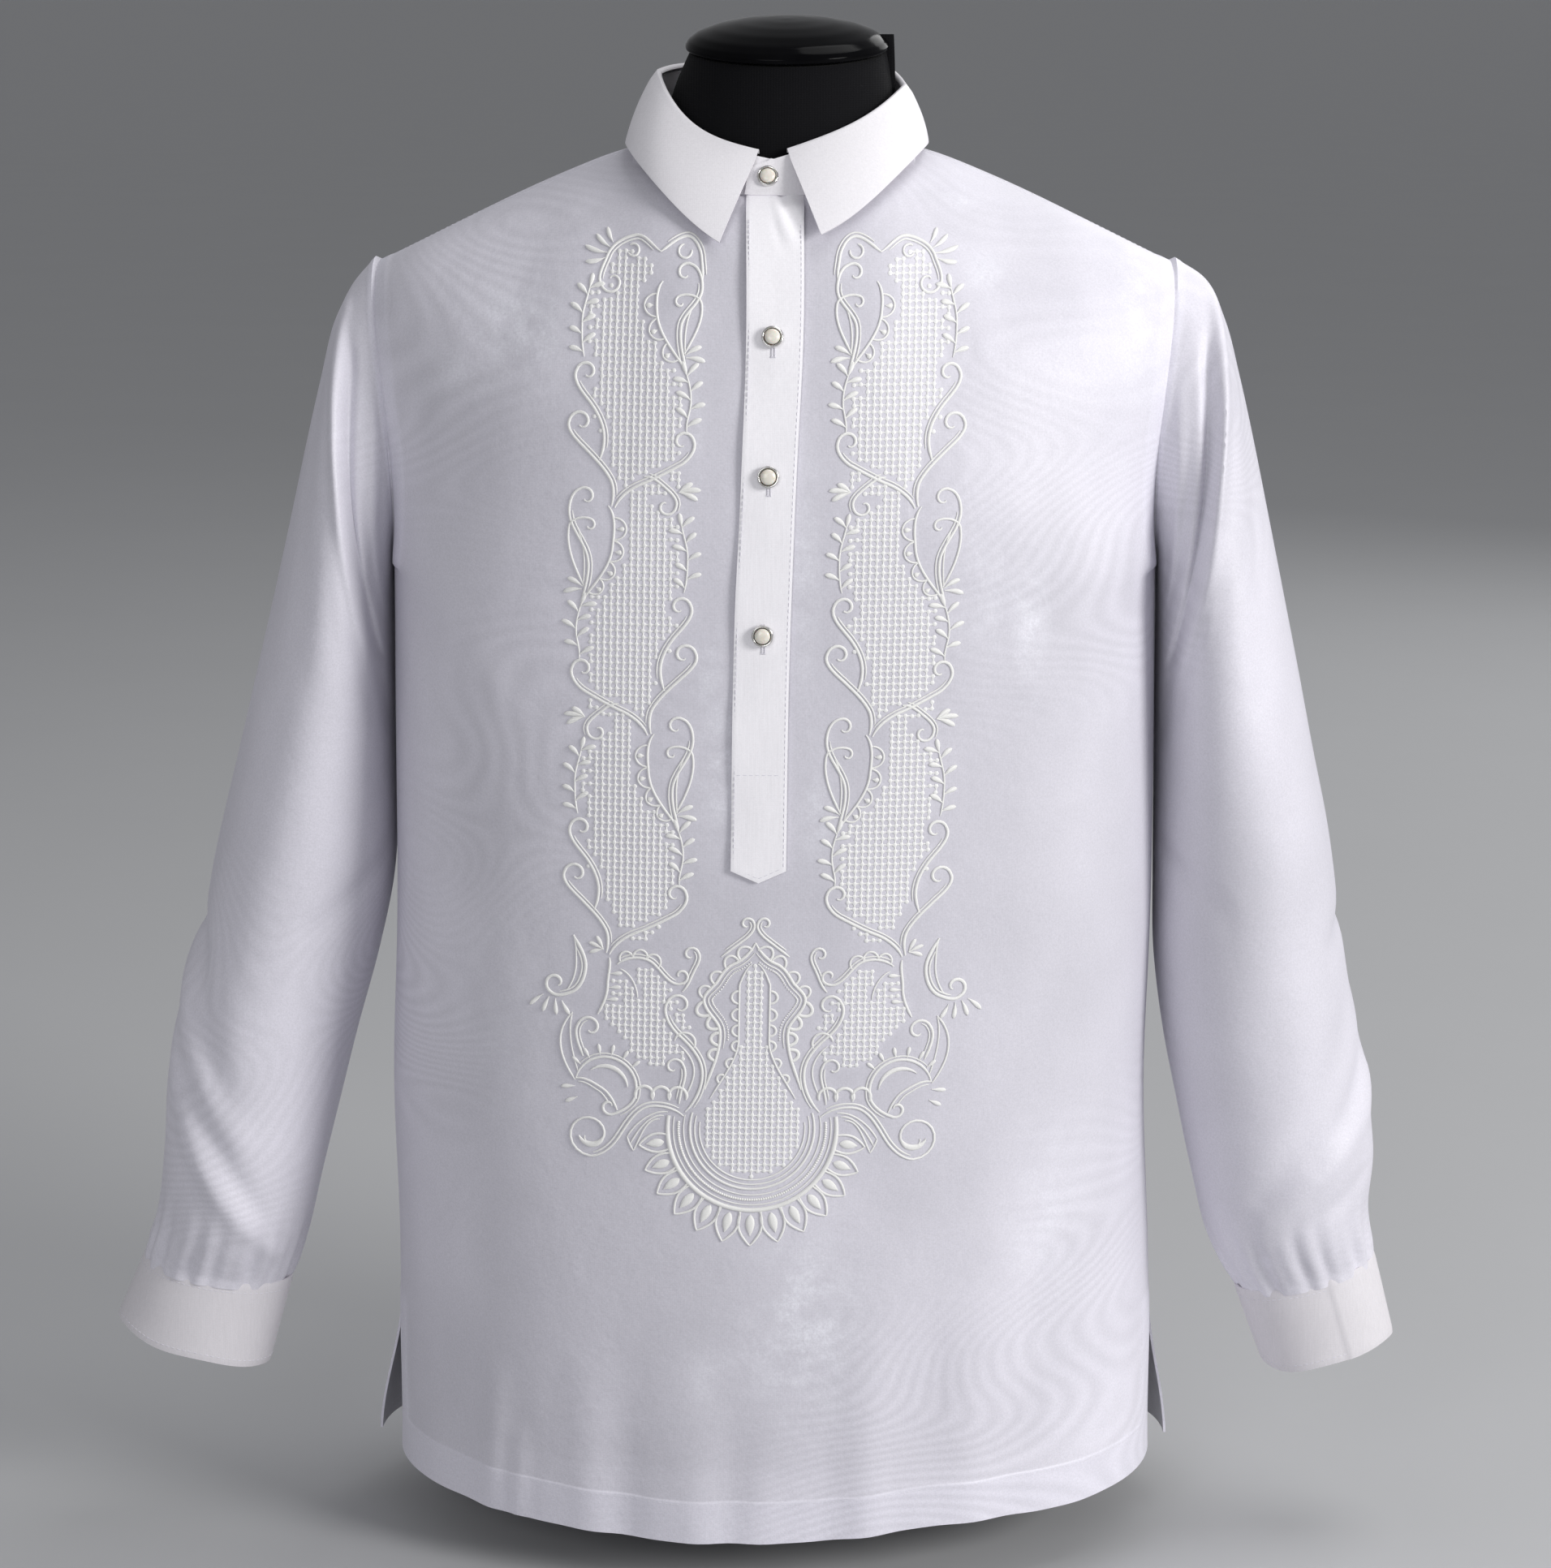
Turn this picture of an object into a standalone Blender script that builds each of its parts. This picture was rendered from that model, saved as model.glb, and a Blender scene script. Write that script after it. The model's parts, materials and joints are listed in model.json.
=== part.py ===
# Barong tagalog shirt standing on its limbless dress form.
# Units are metres, +Z up. The front faces -Y and the wearer's left is +X.
# Every cloth piece is a surface worked out by a function from the short tables
# below, given a wall by Solidify. Pieces stop about 0.4 mm short of each other at seams.
import bpy
import bmesh
import math
import numpy as np

for old in list(bpy.data.objects):
    bpy.data.objects.remove(old, do_unlink=True)

# ---------------------------------------------------------------- named sizes
CLOTH = 0.0015           # wall of the single cloth
BAND = 0.0013            # wall of the interfaced bands: collar, cuffs, placket
SEAM = 0.0004            # each side of a seam stops this far from its line
HEM_Z = 0.040            # the hem hangs this far above the surface
UNDERARM_Z = 0.575
VENT_TOP_Z = 0.130       # side vents are open below this
RING_POWER = 2.35        # superellipse power of a body ring
PLACKET_HALF = 0.0150
PLACKET_TIP_Z = 0.4190
BUTTON_R = 0.0060

# The shirt body: half width and depths of the ring at each height.
BODY = dict(
    z=(0.030, 0.110, 0.184, 0.284, 0.390, 0.478, 0.575, 0.640),
    half_width=(0.2270, 0.2238, 0.2218, 0.2200, 0.2186, 0.2178, 0.2165, 0.2165),
    front=(0.1425, 0.1440, 0.1450, 0.1445, 0.1440, 0.1430, 0.1420, 0.1420),
    back=(0.1380, 0.1360, 0.1320, 0.1260, 0.1220, 0.1210, 0.1220, 0.1220),
)
# The dress form inside it, from its flat base up to the underarm.
FORM = dict(
    z=(0.000, 0.025, 0.060, 0.120, 0.200, 0.300, 0.400, 0.478, 0.575, 0.640),
    half_width=(0.1250, 0.1420, 0.1560, 0.1660, 0.1620, 0.1540, 0.1680, 0.1820, 0.1930, 0.1930),
    front=(0.0550, 0.0730, 0.0930, 0.1080, 0.1060, 0.1020, 0.1120, 0.1220, 0.1290, 0.1290),
    back=(0.0820, 0.0930, 0.1030, 0.1110, 0.1000, 0.0880, 0.0960, 0.1060, 0.1110, 0.1110),
)
SHIRT_CUT = dict(
    table=BODY, bottom=HEM_Z, tip_x=0.2235, tip_z=0.7430, hps_x=0.0780, hps_z=0.8068,
    neck_front_y=0.0740, neck_front_z=0.7840, neck_back_y=0.0600, neck_back_z=0.8110,
    arm_half=0.0520, arm_dip=0.0115, seam_y=0.0110)
FORM_CUT = dict(
    table=FORM, bottom=0.0, tip_x=0.2000, tip_z=0.7395, hps_x=0.0620, hps_z=0.8045,
    neck_front_y=0.0580, neck_front_z=0.7840, neck_back_y=0.0500, neck_back_z=0.8070,
    arm_half=0.0440, arm_dip=0.0040, seam_y=0.0100)

# Sleeve sections, from the armhole to the cuff. Each is an ellipse in a tilted plane:
# its outer point, its inner point, its half depth and how far forward its middle lies.
SLEEVE_COLUMNS = ("outer_x", "outer_z", "inner_x", "inner_z", "half_depth", "mid_y")
SLEEVE_RIGHT_ARM = (   # the wearer's right, at -X
    (0.2250, 0.7455, 0.2192, 0.5765, 0.0525, 0.000),
    (0.2380, 0.7305, 0.2194, 0.5600, 0.0590, 0.000),
    (0.2490, 0.7100, 0.2196, 0.5450, 0.0670, 0.001),
    (0.2565, 0.6800, 0.2198, 0.5280, 0.0740, 0.002),
    (0.2650, 0.6450, 0.2200, 0.5120, 0.0800, 0.003),
    (0.2745, 0.6050, 0.2202, 0.4950, 0.0830, 0.004),
    (0.2855, 0.5600, 0.2206, 0.4740, 0.0830, 0.004),
    (0.2970, 0.5150, 0.2209, 0.4500, 0.0810, 0.004),
    (0.3090, 0.4680, 0.2213, 0.4200, 0.0770, 0.003),
    (0.3215, 0.4200, 0.2240, 0.3850, 0.0720, 0.001),
    (0.3335, 0.3700, 0.2335, 0.3420, 0.0680, -0.002),
    (0.3458, 0.3200, 0.2462, 0.2970, 0.0640, -0.006),
    (0.3560, 0.2740, 0.2568, 0.2560, 0.0600, -0.010),
    (0.3592, 0.2300, 0.2668, 0.2170, 0.0560, -0.014),
    (0.3640, 0.1920, 0.2762, 0.1800, 0.0500, -0.017),
    (0.3725, 0.1640, 0.2866, 0.1500, 0.0345, -0.020),
)
SLEEVE_LEFT_ARM = (    # the wearer's left, at +X
    (0.2250, 0.7455, 0.2192, 0.5765, 0.0525, 0.000),
    (0.2430, 0.7330, 0.2194, 0.5600, 0.0590, 0.000),
    (0.2545, 0.7110, 0.2196, 0.5450, 0.0670, 0.001),
    (0.2625, 0.6810, 0.2198, 0.5280, 0.0740, 0.002),
    (0.2710, 0.6450, 0.2200, 0.5120, 0.0800, 0.003),
    (0.2800, 0.6050, 0.2202, 0.4950, 0.0830, 0.004),
    (0.2900, 0.5600, 0.2206, 0.4740, 0.0830, 0.004),
    (0.3000, 0.5150, 0.2209, 0.4500, 0.0810, 0.004),
    (0.3100, 0.4680, 0.2211, 0.4200, 0.0770, 0.003),
    (0.3205, 0.4200, 0.2214, 0.3900, 0.0720, 0.001),
    (0.3282, 0.3700, 0.2225, 0.3460, 0.0680, -0.002),
    (0.3362, 0.3200, 0.2285, 0.3000, 0.0640, -0.006),
    (0.3450, 0.2740, 0.2375, 0.2560, 0.0600, -0.010),
    (0.3515, 0.2300, 0.2460, 0.2170, 0.0560, -0.014),
    (0.3492, 0.1950, 0.2560, 0.1800, 0.0500, -0.017),
    (0.3530, 0.1690, 0.2728, 0.1480, 0.0345, -0.020),
)
# Cuff rings, top and bottom edge, in the same columns.
CUFF_RIGHT_ARM = ((0.3728, 0.1630, 0.2868, 0.1490, 0.0325, -0.0200),
                  (0.3895, 0.1245, 0.3015, 0.0965, 0.0330, -0.0240))
CUFF_LEFT_ARM = ((0.3533, 0.1680, 0.2730, 0.1470, 0.0325, -0.0200),
                 (0.3655, 0.1205, 0.2900, 0.1000, 0.0330, -0.0240))

# Largest folds: a soft ridge (height above 0) or trough (below 0) along a line.
# On a sleeve u is the turn from the inner point over the front, 0 to 1, and v runs
# from armhole (0) to cuff (1). Widths are in metres.
FOLD_COLUMNS = ("u0", "v0", "u1", "v1", "width", "height")
SLEEVE_FOLDS = {
    -1: ((0.36, 0.10, 0.16, 0.33, 0.010, 0.0045), (0.30, 0.16, 0.12, 0.36, 0.009, -0.0040),
         (0.62, 0.12, 0.84, 0.34, 0.011, 0.0035), (0.46, 0.66, 0.28, 0.80, 0.012, -0.0035),
         (0.50, 0.72, 0.22, 0.92, 0.012, 0.0030)),
    +1: ((0.40, 0.09, 0.15, 0.34, 0.010, 0.0055), (0.33, 0.14, 0.11, 0.37, 0.009, -0.0050),
         (0.62, 0.12, 0.84, 0.34, 0.011, 0.0035), (0.62, 0.68, 0.44, 0.82, 0.014, 0.0035),
         (0.42, 0.74, 0.20, 0.88, 0.012, -0.0030)),
}
# On the body u is x and v is z, both in metres.
FRONT_FOLDS = ((-0.165, 0.040, -0.158, 0.120, 0.008, 0.0030), (-0.185, 0.080, -0.178, 0.330, 0.024, -0.0030),
               (0.175, 0.060, 0.185, 0.300, 0.026, -0.0030), (0.120, 0.040, 0.128, 0.200, 0.020, 0.0025),
               (-0.060, 0.040, -0.052, 0.160, 0.026, 0.0022))
BACK_FOLDS = ((-0.120, 0.040, -0.100, 0.480, 0.026, 0.0045), (0.125, 0.040, 0.105, 0.500, 0.028, 0.0045),
              (-0.045, 0.040, -0.030, 0.330, 0.022, -0.0035), (0.050, 0.040, 0.036, 0.360, 0.024, -0.0035))


# ---------------------------------------------------------------- helpers
def ease(t):
    t = np.clip(t, 0.0, 1.0)
    return t * t * (3.0 - 2.0 * t)


def curve_at(xs, ys, x):
    """A smooth curve through the points of a short table."""
    xs, ys, x = np.asarray(xs, float), np.asarray(ys, float), np.asarray(x, float)
    slope = np.gradient(ys, xs)
    i = np.clip(np.searchsorted(xs, x) - 1, 0, len(xs) - 2)
    h = xs[i + 1] - xs[i]
    t = np.clip((x - xs[i]) / h, 0.0, 1.0)
    return ((2 * t**3 - 3 * t**2 + 1) * ys[i] + (t**3 - 2 * t**2 + t) * h * slope[i]
            + (-2 * t**3 + 3 * t**2) * ys[i + 1] + (t**3 - t**2) * h * slope[i + 1])


def fold_height(rows, u, v, u_scale=1.0, v_scale=1.0):
    total = np.zeros(np.broadcast(u, v).shape)
    for u0, v0, u1, v1, width, height in rows:
        du, dv = (u1 - u0) * u_scale, (v1 - v0) * v_scale
        pu, pv = (u - u0) * u_scale, (v - v0) * v_scale
        along = np.clip((pu * du + pv * dv) / (du * du + dv * dv), 0.0, 1.0)
        away = np.hypot(pu - along * du, pv - along * dv)
        total += height * np.exp(-(away / width) ** 2) * (0.35 + 0.65 * np.sin(math.pi * (0.1 + 0.8 * along)))
    return total


# ---------------------------------------------------------------- the body cut
def arch(top_y, top_z, row_y, z0, turn, t):
    """One column from the underarm height over to its top point, which lies at the angle turn of the arch."""
    theta = turn * t ** 1.12
    rise, rise_end = np.sin(theta) ** 0.9, np.sin(turn) ** 0.9
    fall = np.sign(np.cos(theta)) * np.abs(np.cos(theta)) ** 0.8
    fall_end = np.sign(np.cos(turn)) * np.abs(np.cos(turn)) ** 0.8
    ridge_y = (top_y - row_y * fall_end) / (1.0 - fall_end)
    ridge_z = z0 + (top_z - z0) / rise_end
    return ridge_y + (row_y - ridge_y) * fall, z0 + (ridge_z - z0) * rise


def panel_point(cut, side, xf, row):
    """A point of the front (side -1) or back (side +1) panel.
    xf runs -1..1 across, row 0..1 from hem to underarm and 1..2 from there to the top."""
    xf, row = np.broadcast_arrays(np.asarray(xf, float), np.asarray(row, float))
    table, z0 = cut["table"], UNDERARM_Z
    depth_key = "front" if side < 0 else "back"
    ax = np.abs(xf)
    # below the underarm: a ring of the body at each height
    z_low = cut["bottom"] + (z0 - cut["bottom"]) * np.clip(row, 0.0, 1.0)
    w_low = curve_at(table["z"], table["half_width"], z_low)
    d_low = curve_at(table["z"], table[depth_key], z_low)
    power = RING_POWER - 0.33 * ease((0.36 - z_low) / 0.32)     # the hem hangs nearly as an ellipse
    across = 1.0 - np.clip(ax, 0, 1) ** power
    y_low = side * d_low * np.clip(across, 0, 1) ** (1.0 / power)
    x_low = w_low * xf
    # above it: each column arches over to the neckline or the shoulder seam
    w0 = float(curve_at(table["z"], table["half_width"], z0))
    d0 = float(curve_at(table["z"], table[depth_key], z0))
    xt = ax * cut["tip_x"]
    hps = cut["hps_x"]
    on_neck = xt < hps
    c = np.sqrt(np.clip(1.0 - (np.minimum(xt, hps) / hps) ** 2, 0, 1))
    q = np.clip((xt - hps) / (cut["tip_x"] - hps), 0, 1)
    if side < 0:
        neck_y, neck_z = -cut["neck_front_y"] * c, cut["hps_z"] - (cut["hps_z"] - cut["neck_front_z"]) * c**1.6
        turn = np.radians(65.0 + 17.0 * ease(xt / (hps * 1.25)))
    else:
        neck_y, neck_z = cut["neck_back_y"] * c, cut["hps_z"] + (cut["neck_back_z"] - cut["hps_z"]) * c**1.5
        turn = np.radians(68.0 + 30.0 * ease(xt / (hps * 1.25)))
    seam_y = -cut["seam_y"] * np.sin(math.pi * q) ** 0.7
    seam_z = cut["hps_z"] + (cut["tip_z"] - cut["hps_z"]) * q + 0.002 * np.sin(math.pi * q)
    top_y, top_z = np.where(on_neck, neck_y, seam_y), np.where(on_neck, neck_z, seam_z)
    t = np.clip(row - 1.0, 0.0, 1.0)
    phi = math.pi * t ** 0.72
    edge_y = side * cut["arm_half"] * np.sin(phi)
    frac = (1.0 - np.cos(phi)) / 2.0
    edge_z = z0 + (cut["tip_z"] - z0) * frac
    edge_x = w0 + (cut["tip_x"] - w0) * frac - cut["arm_dip"] * np.sin(phi) ** 2 * (1.0 + np.cos(phi)) / 2.0
    f = ease(np.sin(np.radians(80.0) * t ** 1.12) / 0.40)
    k = 1.0 / RING_POWER + (1.0 / 1.15 - 1.0 / RING_POWER) * f
    profile = np.clip(1.0 - np.clip(ax, 0, 1) ** (RING_POWER + 0.35 * f), 0, 1) ** k
    row_y = edge_y + (side * d0 - edge_y) * profile
    arch_y, arch_z = arch(top_y, top_z, row_y, z0, turn, t)
    end_y, end_z = arch(0.0, cut["tip_z"], edge_y, z0, math.radians(82.0 if side < 0 else 98.0), t)
    near_edge = ease((ax - 0.55) / 0.45)
    y_up = arch_y + (edge_y - end_y) * near_edge
    z_up = arch_z + (edge_z - end_z) * near_edge
    x_up = xf * edge_x
    upper = row > 1.0
    x = np.where(upper, x_up, x_low)
    y = np.where(upper, y_up, y_low)
    z = np.where(upper, z_up, z_low)
    return np.stack([x, y, z], axis=-1)


def shirt_point(side, xf, row):
    """The same panel of the shirt with its side vents and its largest folds."""
    p = panel_point(SHIRT_CUT, side, xf, row)
    x, y, z = p[..., 0].copy(), p[..., 1].copy(), p[..., 2].copy()
    open_vent = ease((VENT_TOP_Z - z) / 0.09)
    at_side = ease((np.abs(x) / 0.225 - 0.70) / 0.30)
    if side < 0:
        y -= 0.0060 * open_vent * at_side
        x -= np.sign(x) * 0.0030 * open_vent * at_side
    else:
        x += np.sign(x) * 0.0090 * open_vent * at_side
        x -= np.where(x < 0, 0.0030, 0.0) * open_vent * at_side
        y += 0.0040 * open_vent * at_side
    folds = fold_height(FRONT_FOLDS if side < 0 else BACK_FOLDS, x, z)
    y += side * folds * (1 - at_side)
    low = ease((0.20 - z) / 0.16)
    if side < 0:                                            # the hem is caught up a little on one side
        z += 0.0060 * np.exp(-((x - 0.090) / 0.060) ** 2) * low
    x -= 0.0035 * np.exp(-((z - 0.270) / 0.075) ** 2)       # the body hangs a little to one side there
    y += side * SEAM * ease((np.abs(xf) - 0.9) / 0.1)
    return np.stack([x, y, z], axis=-1)


def panel_columns(neck_cols, side_cols):
    """Columns of a panel: they meet the neck point exactly and close up at the side."""
    a = np.sin(np.linspace(0, math.pi / 2, neck_cols + 1)) * SHIRT_CUT["hps_x"] / SHIRT_CUT["tip_x"]
    t0 = math.asin(float(a[-1]) ** 1.12)
    b = np.sin(np.linspace(t0, math.pi / 2, side_cols + 1)) ** (1 / 1.12)
    half = np.concatenate([a, b[1:]])
    return np.concatenate([-half[::-1], half[1:]])


def normals_of(points):
    """Unit normals of a grid of points, from its own rows and columns."""
    du = np.gradient(points, axis=1)
    dv = np.gradient(points, axis=0)
    n = np.cross(du, dv)
    return n / np.maximum(np.linalg.norm(n, axis=-1, keepdims=True), 1e-12)


# ---------------------------------------------------------------- sleeves and cuffs
def section_at(rows, v):
    """The section at v (0 armhole, 1 cuff), read smoothly from the table."""
    at = np.linspace(0, 1, len(rows))
    return {name: curve_at(at, [r[i] for r in rows], v) for i, name in enumerate(SLEEVE_COLUMNS)}


def tube_point(rows, side, u, v):
    """u turns from the inner point (0) over the front (0.25) to the outer point (0.5) and round the back."""
    s = section_at(rows, v)
    a = 2 * math.pi * u
    cx, cz = (s["outer_x"] + s["inner_x"]) / 2, (s["outer_z"] + s["inner_z"]) / 2
    rx, rz = (s["outer_x"] - s["inner_x"]) / 2, (s["outer_z"] - s["inner_z"]) / 2
    x = cx - rx * np.cos(a)
    y = s["mid_y"] - s["half_depth"] * np.sin(a)
    z = cz - rz * np.cos(a)
    return np.stack(np.broadcast_arrays(side * x, y, z), axis=-1)


def sleeve_point(side, u, v):
    u, v = np.broadcast_arrays(np.asarray(u, float), np.asarray(v, float))
    rows = SLEEVE_LEFT_ARM if side > 0 else SLEEVE_RIGHT_ARM
    p = tube_point(rows, side, u, v)
    a = 2 * math.pi * u
    dip = SHIRT_CUT["arm_dip"] * np.sin(a) ** 2 * (1 + np.cos(a)) / 2 * ease(1 - v / 0.16)
    p[..., 0] -= side * dip
    # push the folds out along the section's own direction
    s = section_at(rows, v)
    mid = np.stack(np.broadcast_arrays(side * (s["outer_x"] + s["inner_x"]) / 2, s["mid_y"],
                                       (s["outer_z"] + s["inner_z"]) / 2), axis=-1)
    out = p - mid
    out /= np.linalg.norm(out, axis=-1, keepdims=True)
    h = fold_height(SLEEVE_FOLDS[side], u, v, 0.40, 0.62)
    h *= ease((v - 0.03) / 0.08) * ease((0.985 - v) / 0.06) * ease((np.minimum(u, 1 - u) - 0.05) / 0.08)
    return p + out * h[..., None]


# ---------------------------------------------------------------- neck band and collar
def neckline(a):
    """The neck seam; a turns from the front (0) towards +X."""
    c = np.cos(a)
    front = c > 0
    y = np.where(front, -SHIRT_CUT["neck_front_y"], -SHIRT_CUT["neck_back_y"]) * c
    drop = (SHIRT_CUT["hps_z"] - SHIRT_CUT["neck_front_z"]) * np.abs(c) ** 1.6
    lift = (SHIRT_CUT["neck_back_z"] - SHIRT_CUT["hps_z"]) * np.abs(c) ** 1.5
    z = SHIRT_CUT["hps_z"] + np.where(front, -drop, lift)
    return np.stack([SHIRT_CUT["hps_x"] * np.sin(a), y, z], axis=-1)


def fold_line(a):
    """The top edge of the stand, where the collar turns over: a V in front, level behind."""
    c, s = np.cos(a), np.abs(np.sin(a))
    front = c > 0
    y = np.where(front, -0.0650, -0.0580) * c
    left = np.sin(a) > 0
    rise = np.where(left, 0.0350 * (0.65 * s + 0.35 * s**4), 0.0430 * (0.35 * s + 0.65 * s**4))
    z = np.where(front, 0.8045 + rise, np.where(left, 0.8395, 0.8475) + np.where(left, 0.0110, 0.0030) * ease(np.abs(c) * 1.4))
    return np.stack([0.0040 * np.clip(1 - 0.8 * c, 0, 1) + 0.0690 * np.sin(a), y, z], axis=-1)


def stand_point(a, v):
    low, high = neckline(a) + np.array([0, 0, 0.0022]), fold_line(a) - np.array([0, 0, 0.0016])
    v = np.asarray(v)[..., None]
    return low * (1 - v) + high * v


COLLAR_FRONT = dict(top_right=6.0, top_left=7.0, point_right=18.0, point_left=20.5)


def leaf_edge(a):
    """The leaf's lower edge, from point to point round the back."""
    c = np.cos(a)
    front = c > 0
    y = np.where(front, -0.1075, -0.0800) * c
    z = np.where(front, 0.8100 - np.where(np.sin(a) > 0, 0.0430, 0.0490) * (np.abs(c) / 0.94) ** 2.4, 0.8100 - 0.0035 * np.abs(c) ** 1.2)
    return np.stack([0.0010 + 0.0822 * np.sin(a), y, z], axis=-1)


def leaf_point(s, v):
    """s runs 0..1 from the +X front edge round the back to the -X front edge.
    v below 0 is the roll over the stand, 0 the fold and 1 the free edge."""
    s, v = np.broadcast_arrays(np.asarray(s, float), np.asarray(v, float))
    top = np.radians(COLLAR_FRONT["top_right"] + (360 - COLLAR_FRONT["top_right"] - COLLAR_FRONT["top_left"]) * s)
    lean_r = math.radians(COLLAR_FRONT["point_right"] - COLLAR_FRONT["top_right"]) * ease(1 - s / 0.22)
    lean_l = math.radians(COLLAR_FRONT["point_left"] - COLLAR_FRONT["top_left"]) * ease(1 - (1 - s) / 0.22)
    down = np.clip(v, 0, 1)
    a_low = top + lean_r - lean_l
    fold, edge = fold_line(top), leaf_edge(a_low)
    p = fold * (1 - down[..., None]) + edge * down[..., None]
    out = np.stack([np.sin(top), -np.cos(top), np.zeros_like(top)], axis=-1)
    # the roll: a small half turn over the stand's top edge
    roll = np.clip(v, -1, 0)
    turn = math.pi * (-roll) * 0.5
    r = 0.0018
    lift = np.where(v < 0, r * np.cos(turn), r * ease(1 - down / 0.10))
    shift = np.where(v < 0, -r * np.sin(turn), r * ease(down / 0.10))
    bulge = 0.0018 * np.sin(math.pi * down) ** 0.8
    p = p + out * (shift + bulge)[..., None]
    p[..., 2] += lift
    return p


# ---------------------------------------------------------------- placket
def placket_mid_x(z):
    return curve_at((0.40, 0.56, 0.64, 0.71, 0.80), (-0.0066, -0.0040, -0.0006, 0.0022, 0.0012), z)


def front_row_at(z):
    """The row of the front panel whose centre lies at height z."""
    rows = np.linspace(0, 2, 801)
    heights = panel_point(SHIRT_CUT, -1, 0.0, rows)[..., 2]
    return np.interp(z, heights, rows)


def on_front(x, z_mid, lift):
    """Points that lie on the front panel near its centre, moved out by lift."""
    row = front_row_at(z_mid)
    width = np.where(row > 1, 0.2165, curve_at(BODY["z"], BODY["half_width"], np.minimum(z_mid, UNDERARM_Z)))
    xf = x / width
    e = 1e-3
    p = shirt_point(-1, xf, row)
    du = shirt_point(-1, xf + e, row) - shirt_point(-1, xf - e, row)
    dv = shirt_point(-1, xf, row + e) - shirt_point(-1, xf, row - e)
    n = np.cross(du, dv)
    n /= np.linalg.norm(n, axis=-1, keepdims=True)
    return p + n * np.asarray(lift)[..., None], n


# ---------------------------------------------------------------- mesh building
def new_collection(name):
    c = bpy.data.collections.new(name)
    bpy.context.scene.collection.children.link(c)
    return c


PARTS = new_collection("barong_tagalog_on_form")


def material(name, colour, roughness, metallic=0.0, sheen=0.0, coat=0.0):
    m = bpy.data.materials.new(name)
    m.use_nodes = True
    b = m.node_tree.nodes["Principled BSDF"]
    b.inputs["Base Color"].default_value = (*colour, 1.0)
    b.inputs["Roughness"].default_value = roughness
    b.inputs["Metallic"].default_value = metallic
    b.inputs["Sheen Weight"].default_value = sheen
    b.inputs["Coat Weight"].default_value = coat
    return m


def add_object(name, mesh, mat, smooth=True):
    ob = bpy.data.objects.new(name, mesh)
    PARTS.objects.link(ob)
    mesh.materials.append(mat)
    for f in mesh.polygons:
        f.use_smooth = smooth
    return ob


def mesh_from_grid(name, points, wrap=False):
    """A surface from rows of points; wrap joins the last column to the first."""
    rows, cols = points.shape[:2]
    bm = bmesh.new()
    grid = [[bm.verts.new(points[j, i]) for i in range(cols)] for j in range(rows)]
    for j in range(rows - 1):
        for i in range(cols if wrap else cols - 1):
            k = (i + 1) % cols
            bm.faces.new((grid[j][i], grid[j][k], grid[j + 1][k], grid[j + 1][i]))
    bm.normal_update()
    mesh = bpy.data.meshes.new(name)
    bm.to_mesh(mesh)
    bm.free()
    return mesh


def cloth_piece(name, points, mat, wall, wrap=False):
    ob = add_object(name, mesh_from_grid(name, points, wrap), mat)
    shell = ob.modifiers.new("wall", "SOLIDIFY")
    shell.thickness = wall
    shell.offset = 0.0
    shell.use_even_offset = True
    shell.use_quality_normals = True
    return ob


def panel_grid(side, neck_cols, side_cols, low_rows, up_rows):
    xf = panel_columns(neck_cols, side_cols)
    low = np.linspace(0, 1, low_rows + 1)
    up = 1 + np.linspace(0, 1, up_rows + 1)[1:]
    row = np.concatenate([low, up])
    row[-1] = 2 - 0.0022
    return shirt_point(side, xf[None, :], row[:, None])


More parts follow.
